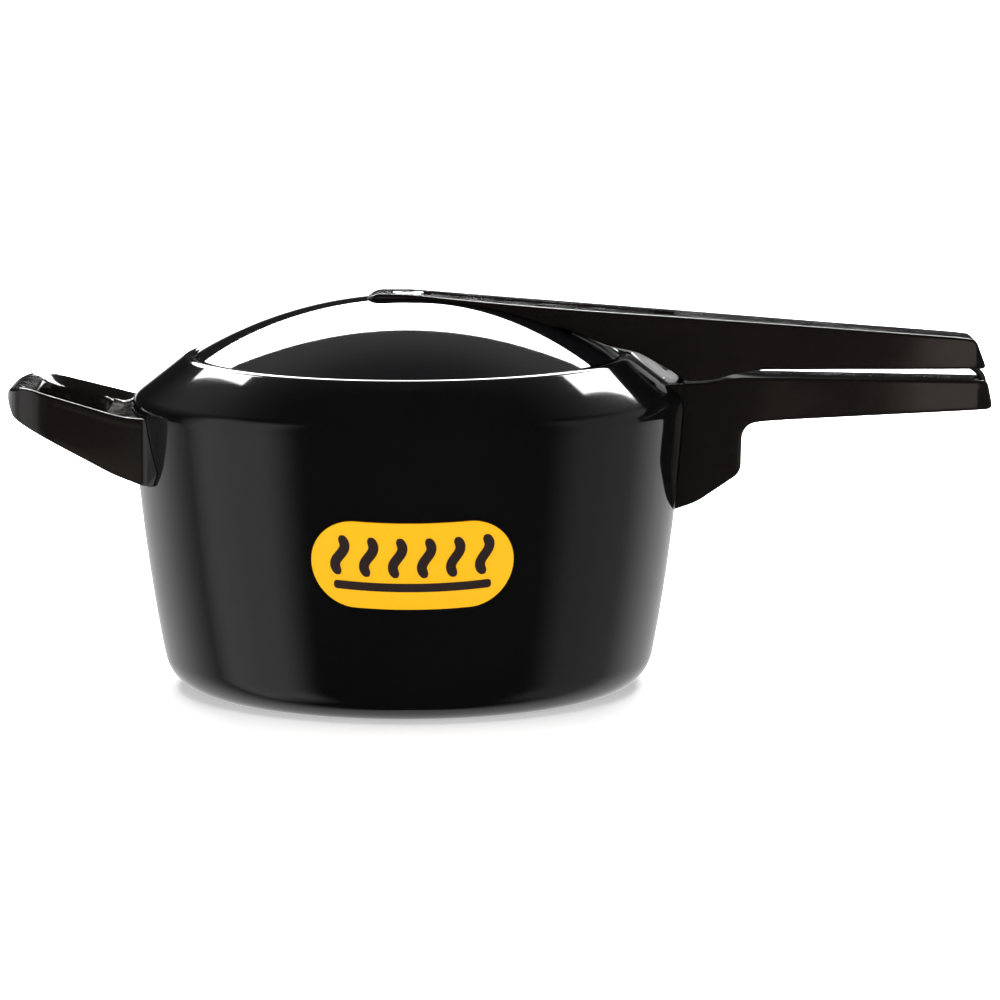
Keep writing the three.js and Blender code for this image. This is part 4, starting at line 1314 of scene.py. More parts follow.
@dataclass
class BodyHandle:
    """The lower long handle, moulded over its bracket, with rivets and screws."""

    layout: Layout
    rim: float = 1.3
    thick: float = 16.5
    foot_h: float = 58.4
    bracket_h: float = 44.4
    bracket_thick: float = 2.6
    bracket_half: float = 13.0
    widest: float = 16.6
    draft: float = 0.035
    screw: Screw = Screw(12.0)

    def __post_init__(self) -> None:
        """Work out the bracket's heights."""
        self.pot = self.layout.pot
        self.top = self.layout.body_top
        self.bracket_top = self.layout.fulcrum[1] - self.layout.knuckle_r - GAP
        self.bracket_low = self.bracket_top - self.bracket_h
        self.rivet_z = (self.bracket_low + 9, self.bracket_low + 26)
        self.tongue_z = self.top - 8.5
        self.tongue_end = self.pot.body_r + 62
        self.screw_x = (self.pot.body_r + 37, self.pot.body_r + 53)
        self.rivet = Rivet(self.pot.wall + GAP + self.bracket_thick)

    def on_wall(self, piece: Piece, z: float) -> Piece:
        """Place a piece through the bracket and the wall.

        Args:
            piece: The piece, made at the origin.
            z: How high on the bracket.

        Returns:
            The same piece.
        """
        normal = self.pot.wall_normal(z, 1)
        point = Vector((self.pot.wall_r(z), 0.0, z)) + normal * (GAP + self.bracket_thick)
        return shop.placed(piece, point, normal)

    def on_tongue(self, piece: Piece, x: float) -> Piece:
        """Place a piece up through the handle into the bracket's tongue."""
        point = Vector((x, 0.0, self.tongue_z + 3 - self.screw.length))
        return shop.placed(piece, point, UP)

    def half(self, x: float) -> float:
        """Half width of the handle along its length."""
        r, end = self.pot.body_r, self.layout.handle_end
        return eased([(r - 14, 16.5), (r + 20, 16.5), (r + 55, 14.8), (end - 12, 13.0),
                      (end - 1, 11.8), (end + 3.6, 9.5)], x)

    def bracket_cutter(self) -> Piece:
        """The pocket for the bracket's plate."""
        near = self.pot.wall_r(self.bracket_low) - 4
        high = [self.pot.body_r + 10, self.bracket_half + GAP, self.bracket_top + GAP]
        pocket = shop.box((near, -self.bracket_half - GAP, self.bracket_low - GAP), high)
        return shop.carved(pocket, self.pot.filled(2 * GAP + self.bracket_thick),
                           operation="INTERSECT")

    def form(self) -> Piece:
        """The handle's outer form, before anything is cut into it."""
        r, end, top = self.pot.body_r, self.layout.handle_end, self.top
        under, foot = top - self.thick, top - self.foot_h
        side = filleted([
            (r - 14, top - 2.6), (r + 8, top - 2, 4), (r + 22, top + 0.6, 5),
            (end + 0.4, top - 1.2, 2.5), (end + 3.1, top - 13.8, 3), (r + 40, under - 1.8, 6),
            (r + 24.6, under - 3, 13), (r + 24.2, foot + 17.5, 4), (r + 5, foot + 4.5, 4),
            (r - 14, foot - 2),
        ])
        handle = shop.moulded("body_handle_moulding", [side], -self.widest, self.widest, self.rim)
        shop.sliced(handle, 0, spread(r - 12, end + 2, 44))
        shop.sliced(handle, 2, spread(foot + 6, top - 6, 6))

        def narrowed(point: Vector) -> Vector:
            """Draw the sides in along the length and towards the top."""
            height = smooth((point.z - foot) / self.foot_h)
            share = self.half(point.x) / self.widest * (1 - self.draft * height)
            return Vector((point.x, point.y * share, point.z))

        shop.warped(handle, narrowed)
        return handle

    def build(self) -> None:
        """Make the handle, its rivets and its screws."""
        end, lock = self.layout.handle_end, self.layout.lock_half + SLIDE_GAP
        tongue_half = 0.7 * self.bracket_half + GAP
        slab, room = self.bracket_thick / 2 + GAP, self.bracket_half + GAP
        handle = shop.carved(
            self.form(), self.pot.filled(GAP), self.bracket_cutter(),
            shop.box((self.pot.body_r - 20, -room, self.bracket_top - 1),
                     (self.pot.body_r, room, self.pot.height)),
            shop.box((self.pot.body_r - 5, -tongue_half, self.tongue_z - slab),
                     (self.tongue_end + GAP, tongue_half, self.tongue_z + slab)),
            shop.box((end - 4.4, -lock, self.top - 10), (end + 10, lock, self.top + 5)),
            *(self.on_wall(self.rivet.pocket(), z) for z in self.rivet_z),
            *(self.on_tongue(self.screw.hole(), x) for x in self.screw_x))
        shop.dressed(handle, Body.COOKER, Slot.PHENOLIC, "body_handle")
        fastened(self.rivet, self.on_wall, self.rivet_z, Body.COOKER, "wall_rivet", "body_rivet")
        fastened(self.screw, self.on_tongue, self.screw_x, Body.COOKER, "handle_screw", "body_screw")


# ---- The helper handle ------------------------------------------------------------------------


@dataclass
class HelperHandle:
    """The looped handle opposite the long ones: thin side walls round a dished opening."""

    pot: PotShape
    crease_half: float = 47.0
    tip_half: float = 36.0
    wing: float = 18.0
    wing_half: float = 63.5
    side_wall: float = 7.0
    end_wall: float = 13.0
    foot_h: float = 29.0
    dish: float = 4.2
    rim: float = 1.2
    bracket_thick: float = 2.6
    bracket_half: float = 27.0
    rivet_y: Point2 = (-19.0, 19.0)
    body_depth: float = 20.0
    screw: Screw = Screw(12.0)
    flat: float = 3.0

    def __post_init__(self) -> None:
        """Work out the key places."""
        self.top = self.pot.shoulder[1]
        self.low = self.top - self.foot_h
        self.rivet_z = (self.top + self.low) / 2
        self.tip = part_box("helper_handle")[0][0] / MM + 0.2
        self.crease = -(self.pot.body_r - 8.5)
        self.hole_near = -(self.pot.body_r + 11)
        self.rivet = Rivet(self.pot.wall + GAP + self.bracket_thick)
        r, tip, top, low = self.pot.body_r, self.tip, self.top, self.low
        self.crown = sorted(filleted([
            (tip - 1, top + 5), (tip + 0.8, top + 9.4, 2), (tip + 9, top + 11.8, 5),
            (-r - 1, top, 6), (-r + 40, top - 2)]))
        self.sole = sorted(filleted([
            (-r + 40, low - 0.5), (-r + 7.5, low - 0.3, 2), (-r - 5, low + 4.2, 4),
            (tip + 3.4, top - 2.2, 1.5), (tip - 0.2, top + 4.4)]))
        wing_x, wing_half = self.crease + self.wing, self.crease_half + 1.2 * self.wing
        self.plan = filleted([
            (wing_x, -wing_half), (self.crease, -self.crease_half, 2), (tip, -self.tip_half, 26),
            (tip, self.tip_half, 26), (self.crease, self.crease_half, 2), (wing_x, wing_half)], 14)

    def half(self, x: float) -> float:
        """Half width of the loop along its length."""
        share = (x - self.tip) / (self.crease - self.tip)
        return self.tip_half + (self.crease_half - self.tip_half) * share

    def inside(self, x: float, y: float) -> float:
        """How far a point of the loop is from its outer rim.

        Args:
            x: The point's X.
            y: The point's Y.

        Returns:
            The distance.
        """
        spot, nearest = Vector((x, y)), math.inf
        for a, b in zip(self.plan, self.plan[1:]):
            start, run = Vector(a), Vector(b) - Vector(a)
            t = min(max((spot - start).dot(run) / run.length_squared, 0.0), 1.0)
            nearest = min(nearest, (spot - start - run * t).length)
        return nearest

    def on_wall(self, piece: Piece, y: float) -> Piece:
        """Place a piece through the bracket and the wall.

        Args:
            piece: The piece, made at the origin.
            y: How far along the bracket.

        Returns:
            The same piece.
        """
        z, r = self.rivet_z, self.pot.wall_r(self.rivet_z)
        normal = self.pot.wall_normal(z, -1)
        piece = shop.placed(piece, Vector((-r, 0.0, z)) + normal * (GAP + self.bracket_thick), normal)
        piece.data.transform(Matrix.Rotation(-math.asin(y / r), 4, "Z"))
        return piece

    def on_foot(self, piece: Piece) -> Piece:
        """Place a piece through the foot, its head in the finger opening."""
        x = -(self.pot.wall_r(self.rivet_z) + HEAD_GAP + self.screw.length)
        return shop.placed(piece, Vector((x, 0.0, self.rivet_z)), Vector((1.0, 0.0, 0.0)))

    def shaped(self, point: Vector) -> Vector:
        """Take a point of the flat loop to its place between the sole and the crown.

        Args:
            point: A point whose Z runs from 0 to the loop's flat depth.

        Returns:
            The point on the finished loop.
        """
        x, y, depth = point
        top, bottom = along(self.crown, x), along(self.sole, x)
        full, flat = self.body_depth, self.flat
        rim = min(flat, 0.45 * (top - bottom))
        if depth < flat:
            z = bottom + depth * rim / flat
        elif depth > full - flat:
            z = top - (full - depth) * rim / flat
        else:
            z = bottom + rim + (top - bottom - 2 * rim) * (depth - flat) / (full - 2 * flat)
        web = smooth((2.0 - x - self.pot.body_r) / 9.0)
        tip = smooth((x - self.tip - 4.0) / 18.0)
        deep = min(max((self.inside(x, y) - 1.4) / 4.8, 0.0), 1.0) * web * tip
        z -= self.dish * deep * smooth((depth / full - 0.5) / 0.35)
        return Vector((x, y * (1 - 0.03 * smooth(depth / full)), z))

    def form(self) -> Piece:
        """The loop's outer form, before the pot and the bracket are cut from it."""
        wing_x, rim_x, inner = self.crease + self.wing, self.tip + self.end_wall, self.side_wall
        near, far = self.half(self.hole_near) - inner, self.half(rim_x) - inner
        hole = filleted([(self.hole_near, -near, 8), (self.hole_near, near, 8),
                         (rim_x, far, 14), (rim_x, -far, 14)], 12)
        loop = shop.moulded("helper_loop", [self.plan, hole], 0.0, self.body_depth, self.rim, Plane.PLAN)
        shop.sliced(loop, 0, spread(self.tip + 1, wing_x - 1, 40))
        shop.sliced(loop, 1, spread(-self.crease_half, self.crease_half, 48))
        full, flat = self.body_depth, self.flat
        shop.sliced(loop, 2, (flat, full / 2, full - flat - 1, full - flat))
        shop.warped(loop, self.shaped)
        front = filleted([
            (-self.crease_half, self.low - 1), (-self.crease_half - 7.5, self.low + 7, 2),
            (-self.wing_half, self.top + 1), (-self.wing_half, self.pot.height),
            (self.wing_half, self.pot.height), (self.wing_half, self.top + 1),
            (self.crease_half + 7.5, self.low + 7, 2), (self.crease_half, self.low - 1),
        ])
        slab = shop.prism("cutter", front, self.tip - 5, wing_x + 5, Plane.FRONT)
        return shop.carved(loop, slab, operation="INTERSECT")

    def build(self) -> None:
        """Make the handle, its rivets and its screw."""
        half, high = self.bracket_half + GAP, 9 + GAP
        pocket = shop.box((-self.pot.body_r - 10, -half, self.rivet_z - high),
                          (-self.pot.body_r + 30, half, self.rivet_z + high))
        pocket = shop.carved(pocket, self.pot.filled(2 * GAP + self.bracket_thick),
                             operation="INTERSECT")
        handle = shop.carved(
            self.form(), self.pot.filled(GAP), pocket,
            self.on_foot(self.screw.hole()),
            *(self.on_wall(self.rivet.pocket(), y) for y in self.rivet_y))
        shop.dressed(handle, Body.COOKER, Slot.PHENOLIC, "helper_handle")
        screw = self.on_foot(self.screw.build("loop_screw"))
        shop.dressed(screw, Body.COOKER, Slot.FASTENER, "helper_screw")
        fastened(self.rivet, self.on_wall, self.rivet_y, Body.COOKER, "loop_rivet", "helper_rivet")


# ---- The lid ----------------------------------------------------------------------------------


@dataclass
class Lid:
    """The domed inner lid with its pressed recess, its seal and its two outlets."""

    layout: Layout
    valve: Point2 = (20.0, 62.0)
    valve_r: float = 4.0
    nozzle_r: float = 3.0

    def trough(self, margin: float) -> Piece:
        """The recess under the handle, grown sideways and downwards by a margin.

        Args:
            margin: The margin; negative makes it smaller.

        Returns:
            The recess as a cutter.
        """
        place = self.layout
        half = place.trough_half + margin
        plan = arc((0.0, 0.0), half, QUARTER, 3 * QUARTER, 24)
        plan += [(place.trough_end + HIDDEN, -half), (place.trough_end + HIDDEN, half)]
        return shop.prism("cutter", plan, place.trough_z - margin, place.dome_top + HIDDEN, Plane.PLAN)

    def filled(self, grown: float) -> Piece:
        """Everything under the lid's outside as a cutter, with the recess left open.

        Args:
            grown: How far it stands proud of the lid.

        Returns:
            The cutter.
        """
        place = self.layout
        neck = place.neck_r + grown
        dome = place.dome_curve(place.dome_r + grown, neck)
        profile = [(0.0, place.flange_z), (neck, place.flange_z)] + dome[::-1]
        solid = shop.turned("cutter", profile, CUTTER_FACETS, place.pot.to_oval)
        return shop.carved(solid, self.trough(-grown))

    def on_dome(self, piece: Piece) -> Piece:
        """Place a piece square to the dome at the back of the lid.

        Args:
            piece: The piece, made at the origin.

        Returns:
            The same piece.
        """
        place, (x, y) = self.layout, self.valve
        z = place.dome_z(x, y)
        rise = z - place.dome_centre
        normal = Vector((x / rise, y / rise / place.pot.oval ** 2, 1.0)).normalized()
        return shop.placed(piece, Vector((x, y, z)), normal)

    def shell(self) -> Piece:
        """The lid itself."""
        place, wall = self.layout, self.layout.lid_wall
        neck, low = place.neck_r, place.flange_z - wall
        outer = neck + place.flange_width
        edge = arc((outer - wall / 2, low + wall / 2), wall / 2, -QUARTER, QUARTER, 8)
        dome = place.dome_curve(place.dome_r, neck)[::-1]
        pan = shop.turned("lid_shell", [(0.0, low), (neck - wall, low)] + edge
                          + [(neck, place.flange_z)] + dome, FINE, place.pot.to_oval)
        inner = place.dome_curve(place.dome_r - wall, neck - wall)[::-1]
        hollow = shop.turned("cutter", [(0.0, low - wall), (neck - wall, low - wall)] + inner,
                             FINE, place.pot.to_oval)
        shop.carved(hollow, self.trough(wall))
        bar_rivet = Rivet(wall + GAP + place.bar_thick)
        return shop.carved(
            pan, self.trough(0.0), hollow,
            shop.rod(self.nozzle_r + 1 + GAP, place.trough_z - 10, place.trough_z + 5),
            *(place.on_bar(bar_rivet.hole(), y) for y in place.bar_rivet_y),
            self.on_dome(shop.rod(self.valve_r + GAP, -10, 10)))

    def seal(self) -> Piece:
        """The seal ring between the lid's rim and the underside of the lip."""
        place, pot = self.layout, self.layout.pot
        low, top, inner = place.seal_top - place.seal_height, place.seal_top, place.neck_r + GAP
        outer = place.neck_r + place.flange_width - 0.6

        def under(r: float) -> float:
            """Underside of the shoulder's wall at a radius."""
            return (pot.height - pot.lip_r + (pot.lip_r - pot.wall) / math.cos(pot.slope)
                    - (r - pot.lip_top_r) * math.tan(pot.slope) - 2 * GAP)

        bevel = pot.cone_top[0] - 1.6
        ring = filleted([
            (inner, low, 0.5), (outer, low, 0.8), (outer, under(outer), 0.6),
            (bevel, min(under(bevel), top), 0.6), (pot.lip_top_r - 0.5, top, 0.5),
            (inner + 1.6, top, 0.4), (inner + 1.2, top - 1.4, 0.4), (inner + 0.6, top - 1.4, 0.4),
            (inner, top, 0.2),
        ], 3)
        return shop.turned("seal_ring", ring, 160, pot.to_oval)

    def nut(self, name: str, across: float, top: float, height: float) -> Piece:
        """A chamfered six-sided nut that hangs from a height.

        Args:
            name: The piece's name.
            across: From its axis to a corner.
            top: Height of its top.
            height: Its thickness.

        Returns:
            The nut.
        """
        hole = self.nozzle_r + 1 + GAP
        blank = shop.turned(name, [
            (0.0, top - height), (across - 1.1, top - height), (across, top - height + 0.6),
            (across, top - 0.6), (across - 1.1, top), (0.0, top)], 48)
        hexagon = arc((0.0, 0.0), across, 0.0, 2 * math.pi, 6)[:-1]
        prism = shop.prism("cutter", hexagon, top - height - 1, top + 1, Plane.PLAN)
        return shop.carved(shop.carved(blank, prism, operation="INTERSECT"),
                           shop.rod(hole, top - height - 2, top + 2))

    def build(self) -> None:
        """Make the lid, the seal, the steam nozzle and the safety valve."""
        place = self.layout
        shop.dressed(self.shell(), Body.LID, Slot.POLISHED_BLACK, "lid")
        shop.dressed(self.seal(), Body.LID, Slot.RUBBER, "lid_seal", angle=50.0)
        stem, bore, seat = self.nozzle_r + 1, 1.2, place.trough_z
        tube_low, tube_top = seat - place.lid_wall - 5, seat + 5.5
        tube = shop.turned("steam_nozzle", [
            (bore, tube_low), (stem - 0.4, tube_low),
            *threaded(stem, tube_low + 0.4, seat - place.lid_wall),
            (stem, seat), (stem, seat + GAP), (stem + 1.8, seat + GAP), (stem + 2, seat + 0.6),
            (stem + 2, seat + 2.0), (stem + 1.7, seat + 2.3), (self.nozzle_r, seat + 2.8),
            (self.nozzle_r - 0.8, tube_top), (bore, tube_top)])
        shop.dressed(tube, Body.LID, Slot.BRASS, "vent_tube")
        nut = self.nut("nozzle_nut", 7.4, seat - place.lid_wall - GAP, 3.4)
        shop.dressed(nut, Body.LID, Slot.BRASS, "vent_nut")
        low, r = -place.lid_wall - 4.5, self.valve_r
        valve = shop.turned("fusible_valve", [
            (0.0, low), (r - 0.4, low), *threaded(r, low + 0.4, -place.lid_wall), (r, 0.0), (r, GAP),
            (r + 2.4, GAP), (r + 2.6, GAP + 0.2), (r + 2.6, 1.4), (r + 2.3, 1.8), (r + 1.4, 2.2),
            (2.6, 2.2), (2.3, 1.9), (2.0, 1.3), (0.0, 1.3)])
        shop.dressed(self.on_dome(valve), Body.LID, Slot.BRASS, "safety_valve")
        valve_nut = self.nut("fusible_valve_nut", 7.0, -place.lid_wall - HEAD_GAP, 3.0)
        shop.dressed(self.on_dome(valve_nut), Body.LID, Slot.BRASS, "valve_nut")


@dataclass
class LidHandle:
    """The upper long handle, its bar to the lid, and their pins, rivets and screws."""

    layout: Layout
    lid: Lid
    rim: float = 1.1
    tip: float = 19.0
    widest: float = 19.5
    draft: float = 0.05
    well_r: float = 7.5
    spring_r: float = 2.6
    spring_wire: float = 0.32
    spring_turns: int = 4
    spring_keep: float = 0.46
    screw: Screw = Screw(10.0)

    def __post_init__(self) -> None:
        """Work out where the fasteners go."""
        place = self.layout
        self.screw_x = (place.fulcrum[0] + 34, place.fulcrum[0] + 54)
        self.rivet = Rivet(place.lid_wall + GAP + place.bar_thick)

    def on_handle(self, piece: Piece, x: float) -> Piece:
        """Place a piece up through the handle into the bar."""
        return shop.placed(piece, Vector((x, 0.0, self.layout.lid_under + 1.2)), UP)

    def half(self, x: float) -> float:
        """Half width of the handle along its length."""
        r, end = self.layout.pot.body_r, self.layout.handle_end
        return eased([
            (-self.tip, 7.0), (-self.tip + 4, 10.4), (0.0, 13.6), (30.0, 17.5), (67.0, 19.4),
            (r - 12, 17.6), (r + 45, 14.6), (end - 12, 13.0), (end - 2, 11.8), (end + 0.4, 10.0)], x)

    def form(self) -> Piece:
        """The handle's outer form, before anything is cut into it."""
        place, pot, (x, z) = self.layout, self.layout.pot, self.layout.fulcrum
        end, under, seat = place.handle_end, place.lid_under - place.under_sag, place.trough_z
        line = [(u, place.top_z(u)) for u in (0.95 * end, x, place.crown_reach, 70, 55, 40, 28, 18, 8, 2)]
        side = filleted([
            (-self.tip, seat + 0.4), (place.trough_end, seat + 0.4), (pot.lip_top_r - 8, pot.height + 5),
            (pot.cone_top[0] + 2, pot.height + 2, 3), (x + 0.5, z + 2.6, 2), (x + 5, z - 1.6, 3),
            (x + 17, z - 1.2, 7), (x + 34, under, 10), (end, under, 2.5),
            (end - 5, place.lid_under + place.end_thick, 2.5), *line,
            (-self.tip + 5, place.top_z(0) + 0.1, 3), (-self.tip, place.top_z(0) - 3.6, 2),
        ])
        handle = shop.moulded("lid_handle_moulding", [side], -self.widest, self.widest, self.rim)
        shop.sliced(handle, 0, spread(-self.tip + 1, end - 1, 68))
        shop.sliced(handle, 2, spread(under + 4, place.top_z(x) - 2, 5))

        def narrowed(point: Vector) -> Vector:
            """Draw the sides in along the length and towards the top."""
            height = smooth((point.z - z) / (place.dome_top - z))
            share = self.half(point.x) / self.widest * (1 - self.draft * height)
            return Vector((point.x, point.y * share, point.z))

        shop.warped(handle, narrowed)
        return handle

    def slot(self) -> Piece:
        """Room for the lever, its travel and the finger that presses it."""
        place = self.layout
        floor = place.top_z(place.trough_end) - place.lever_thick - 2.6
        end = place.lever_end + 9
        side = filleted([
            (3, place.trough_z - 1), (place.trough_end - 1, place.trough_z - 1),
            (place.trough_end - 1, floor),
            (end, place.top_z(place.lever_end) - place.lever_thick - 6.5, 2),
            (end, place.top_z(0) + 10), (3, place.top_z(0) + 10)])
        half = place.lever_half + SLIDE_GAP
        return shop.prism("cutter", side, -half, half)

    def bar(self) -> Piece:
        """The steel bar that links the lid to the handle."""
        place, (x, z) = self.layout, self.layout.fulcrum
        strip = ribbon(place.bar_line(), 0, place.bar_thick)
        bar = shop.moulded("lid_bar_strip", [strip], -place.bar_half, place.bar_half, 0.5)
        r, half = place.knuckle_r, place.bar_half
        knuckle = shop.turned("cutter", [
            (0.0, -half + 0.6), (1.3, -half + 0.6), (1.7, -half), (r - 0.5, -half), (r, -half + 0.5),
            (r, half - 0.5), (r - 0.5, half), (1.7, half), (1.3, half - 0.6), (0.0, half - 0.6)], 40)
        shop.placed(knuckle, Vector((x, 0.0, z)), ACROSS)
        shop.carved(bar, knuckle, operation="UNION")
        return shop.carved(
            bar, *(place.on_bar(self.rivet.hole(), y) for y in place.bar_rivet_y),
            *(self.on_handle(self.screw.hole(), u) for u in self.screw_x))

    def pin(self, name: str, half: float, place: Point2) -> Piece:
        """A chamfered pin along Y.

        Args:
            name: The piece's name.
            half: Half its length.
            place: X and Z of its axis.

        Returns:
            The pin.
        """
        r = self.layout.pin_r
        pin = shop.turned(name, [(0.0, -half), (r - 0.3, -half), (r, -half + 0.3), (r, half - 0.3),
                                 (r - 0.3, half), (0.0, half)], 32)
        return shop.placed(pin, Vector((place[0], 0.0, place[1])), ACROSS)

    def spring(self) -> None:
        """Make the lever's coil spring at one fixed length; nothing here shortens it as the lever is
        pressed.
        """
        place, wire = self.layout, self.spring_wire
        (_, _, low), (_, _, high) = (Vector(corner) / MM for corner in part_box("lever_spring"))
        steps = 24 * self.spring_turns
        path = [(place.spring_x + (self.spring_r - wire) * math.cos(math.pi * i / 12),
                 (self.spring_r - wire) * math.sin(math.pi * i / 12),
                 low + wire + (high - low - 2 * wire) * i / steps) for i in range(steps + 1)]
        coil = shop.wired("lever_coil", path, wire)
        shop.dressed(coil, Body.LID, Slot.FASTENER, "lever_spring", angle=60.0)
        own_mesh(coil)

    def build(self) -> None:
        """Make the handle, the bar and their fasteners."""
        place, (x, z) = self.layout, self.layout.fulcrum
        seat, lock = place.trough_z, place.lock_half + SLIDE_GAP
        bar_room = shop.prism("cutter", ribbon(place.bar_line(GAP, GAP), -GAP, place.bar_thick + GAP),
                              -place.bar_half - GAP, place.bar_half + GAP)
        spring_low = place.top_z(place.spring_x) - place.lever_thick - 6.6
        spring_room = shop.rod(self.spring_r + 1.2, spring_low, place.dome_top)
        spring_room.data.transform(Matrix.Translation((place.spring_x, 0.0, 0.0)))
        lever_half = place.trough_half - 1
        handle = shop.carved(
            self.form(), self.lid.filled(GAP), self.slot(),
            shop.rod(self.well_r, seat - 5, seat + HIDDEN), bar_room,
            shop.cross_rod(place.knuckle_r + GAP, place.bar_half + GAP, x, z),
            shop.cross_rod(place.pin_r + GAP, lever_half, *place.lever_pin),
            shop.cross_rod(place.pin_r + GAP, 9.3, *place.lock_pin), spring_room,
            shop.box((place.lock_pin[0] - 4.6, -lock, 0.0),
                     (place.handle_end + 5, lock, place.lock_pin[1] + 4.4)),
            *(place.on_bar(self.rivet.pocket(), y) for y in place.bar_rivet_y),
            *(self.on_handle(self.screw.hole(), u) for u in self.screw_x))
        shop.dressed(handle, Body.LID, Slot.PHENOLIC, "lid_handle")
        shop.dressed(self.bar(), Body.LID, Slot.STEEL, "lid_bar", material=shop.satin)
        fastened(self.rivet, place.on_bar, place.bar_rivet_y, Body.LID, "dome_rivet", "bar_rivet")
        fastened(self.screw, self.on_handle, self.screw_x, Body.LID, "bar_screw", "lid_screw")
        lever_pin = self.pin("lever_axle", lever_half - GAP, place.lever_pin)
        shop.dressed(lever_pin, Body.LID, Slot.FASTENER, "lever_pin")
        lock_pin = self.pin("lock_axle", 9.0, place.lock_pin)
        shop.dressed(lock_pin, Body.LID, Slot.FASTENER, "lock_pin")
        self.spring()


@dataclass
class SteamRelease:
    """The lever in the handle's top, its finger plate and the weight on the nozzle."""

    layout: Layout
    pad_length: float = 16.0
    pad_thick: float = 1.2
    weight_r: float = 6.9
    grip_r: float = 4.0

    def lever(self) -> Piece:
        """The rocking lever."""
        place, top, (x, z) = self.layout, self.layout.lever_top, self.layout.lever_pin
        end, pad_x, flange = place.lever_end, place.lever_end - self.pad_length, self.flange()
        seat = self.pad_thick + GAP

        def bottom(u: float) -> float:
            """Underside of the lever."""
            return top(u) - place.lever_thick

        side = filleted([
            (4.6, bottom(8) + 0.4), (x - 5, bottom(x - 5), 1), (x - 3, z - 3, 1.5), (x + 3, z - 3, 1.5),
            (x + 5, bottom(x + 5), 1), (end, bottom(end), 1.5), (end, top(end), 0.6),
            (end - 1.2, top(end)), (end - 1.6, top(end) - seat), (pad_x, top(pad_x) - seat),
            (pad_x, top(pad_x), 0.4),
            *((u, top(u)) for u in (76, 60, 45, 32, 22)), (9.4, top(9.4), 0.5), (9.2, flange - 0.9),
            (4.6, flange - 0.9),
        ], 4)
        half = place.lever_half
        lever = shop.moulded("release_lever_moulding", [side], -half, half, 0.35, rounds=2)
        return shop.carved(lever, shop.cross_rod(place.pin_r + GAP, half + 1, x, z),
                           shop.rod(self.grip_r + 0.6, place.trough_z, place.dome_top + 5))

    def flange(self) -> float:
        """Underside of the weight's flange."""
        return self.layout.lever_top(8) - 0.6

    def pad(self) -> Piece:
        """The dished steel plate under the fingertip."""
        top, start = self.layout.lever_top, self.layout.lever_end - self.pad_length + GAP
        end = self.layout.lever_end - 1.9
        middle = ((start + end) / 2, top(start) - self.pad_thick + 0.2)
        high = [(end, top(end)), middle, (start, top(start))]
        dish = []
        for t in spread(0.0, 1.0, 13):
            shares = ((1 - t) ** 2, 2 * t * (1 - t), t * t)
            dish.append(tuple(sum(s * p[k] for s, p in zip(shares, high)) for k in (0, 1)))
        side = [(start, top(start) - self.pad_thick), (end, top(end) - self.pad_thick)] + dish
        half = self.layout.lever_half - 0.6
        return shop.moulded("finger_plate", [side], -half, half, 0.12, rounds=1)

    def weight(self) -> Piece:
        """The regulator weight, with a shallow ring in its top."""
        low, top = self.layout.trough_z + 6, self.layout.dome_top + 2
        flange, r = self.flange(), self.weight_r
        return shop.turned("steam_weight", [
            (0.0, low), (self.grip_r - 0.6, low), (self.grip_r, low + 0.8), (self.grip_r, flange),
            (r - 0.3, flange), (r, flange + 0.3), (r, top - 0.9), (r - 0.25, top - 0.3), (r - 0.9, top),
            (r - 2.2, top), (r - 2.4, top - 0.35), (r - 3.0, top - 0.35), (r - 3.2, top),
            (1.2, top - 0.1), (0.0, top - 0.1)], 64)

    def build(self) -> None:
        """Make the lever, its plate and the weight."""
        shop.dressed(self.lever(), Body.LEVER, Slot.PHENOLIC, "release_lever")
        shop.dressed(self.pad(), Body.LEVER, Slot.STEEL, "finger_pad")
        shop.dressed(self.weight(), Body.WEIGHT, Slot.STEEL, "regulator_weight")


@dataclass
class LockLink:
    """The link at the far end that holds the two long handles together."""

    layout: Layout

    def build(self) -> None:
        """Make the link."""
        place, (x, z) = self.layout, self.layout.lock_pin
        top, nose = place.body_top, place.body_top - 8
        near, half = place.handle_end - 2.6, place.lock_half
        side = filleted([
            (x - 2.6, z + 2.6, 2), (x + 3, z + 2.8, 2), (x + 4.5, z - 2, 2), (near + 3.2, top, 3),
            (near + 3.2, nose, 1), (near - 0.6, nose, 1), (near, top, 3), (x + 0.5, z - 4, 2),
            (x - 2.8, z - 2.4, 2)])
        link = shop.moulded("lock_link_moulding", [side], -half, half, 0.6)
        shop.carved(link, shop.cross_rod(place.pin_r + GAP, half + 1, x, z))
        shop.dressed(link, Body.LOCK, Slot.PHENOLIC, "lock_link")


# ---- The studio -------------------------------------------------------------------------------


@dataclass(frozen=True)
class Glow:
    """A soft patch of light in the studio's surroundings, in degrees and radiance."""

    turn: float
    height: float
    half_turn: float
    half_height: float
    soft: float
    strength: float


class Shape(Enum):
    """The outline of a lamp."""

    ROUND = "ELLIPSE"
    SQUARE = "RECTANGLE"


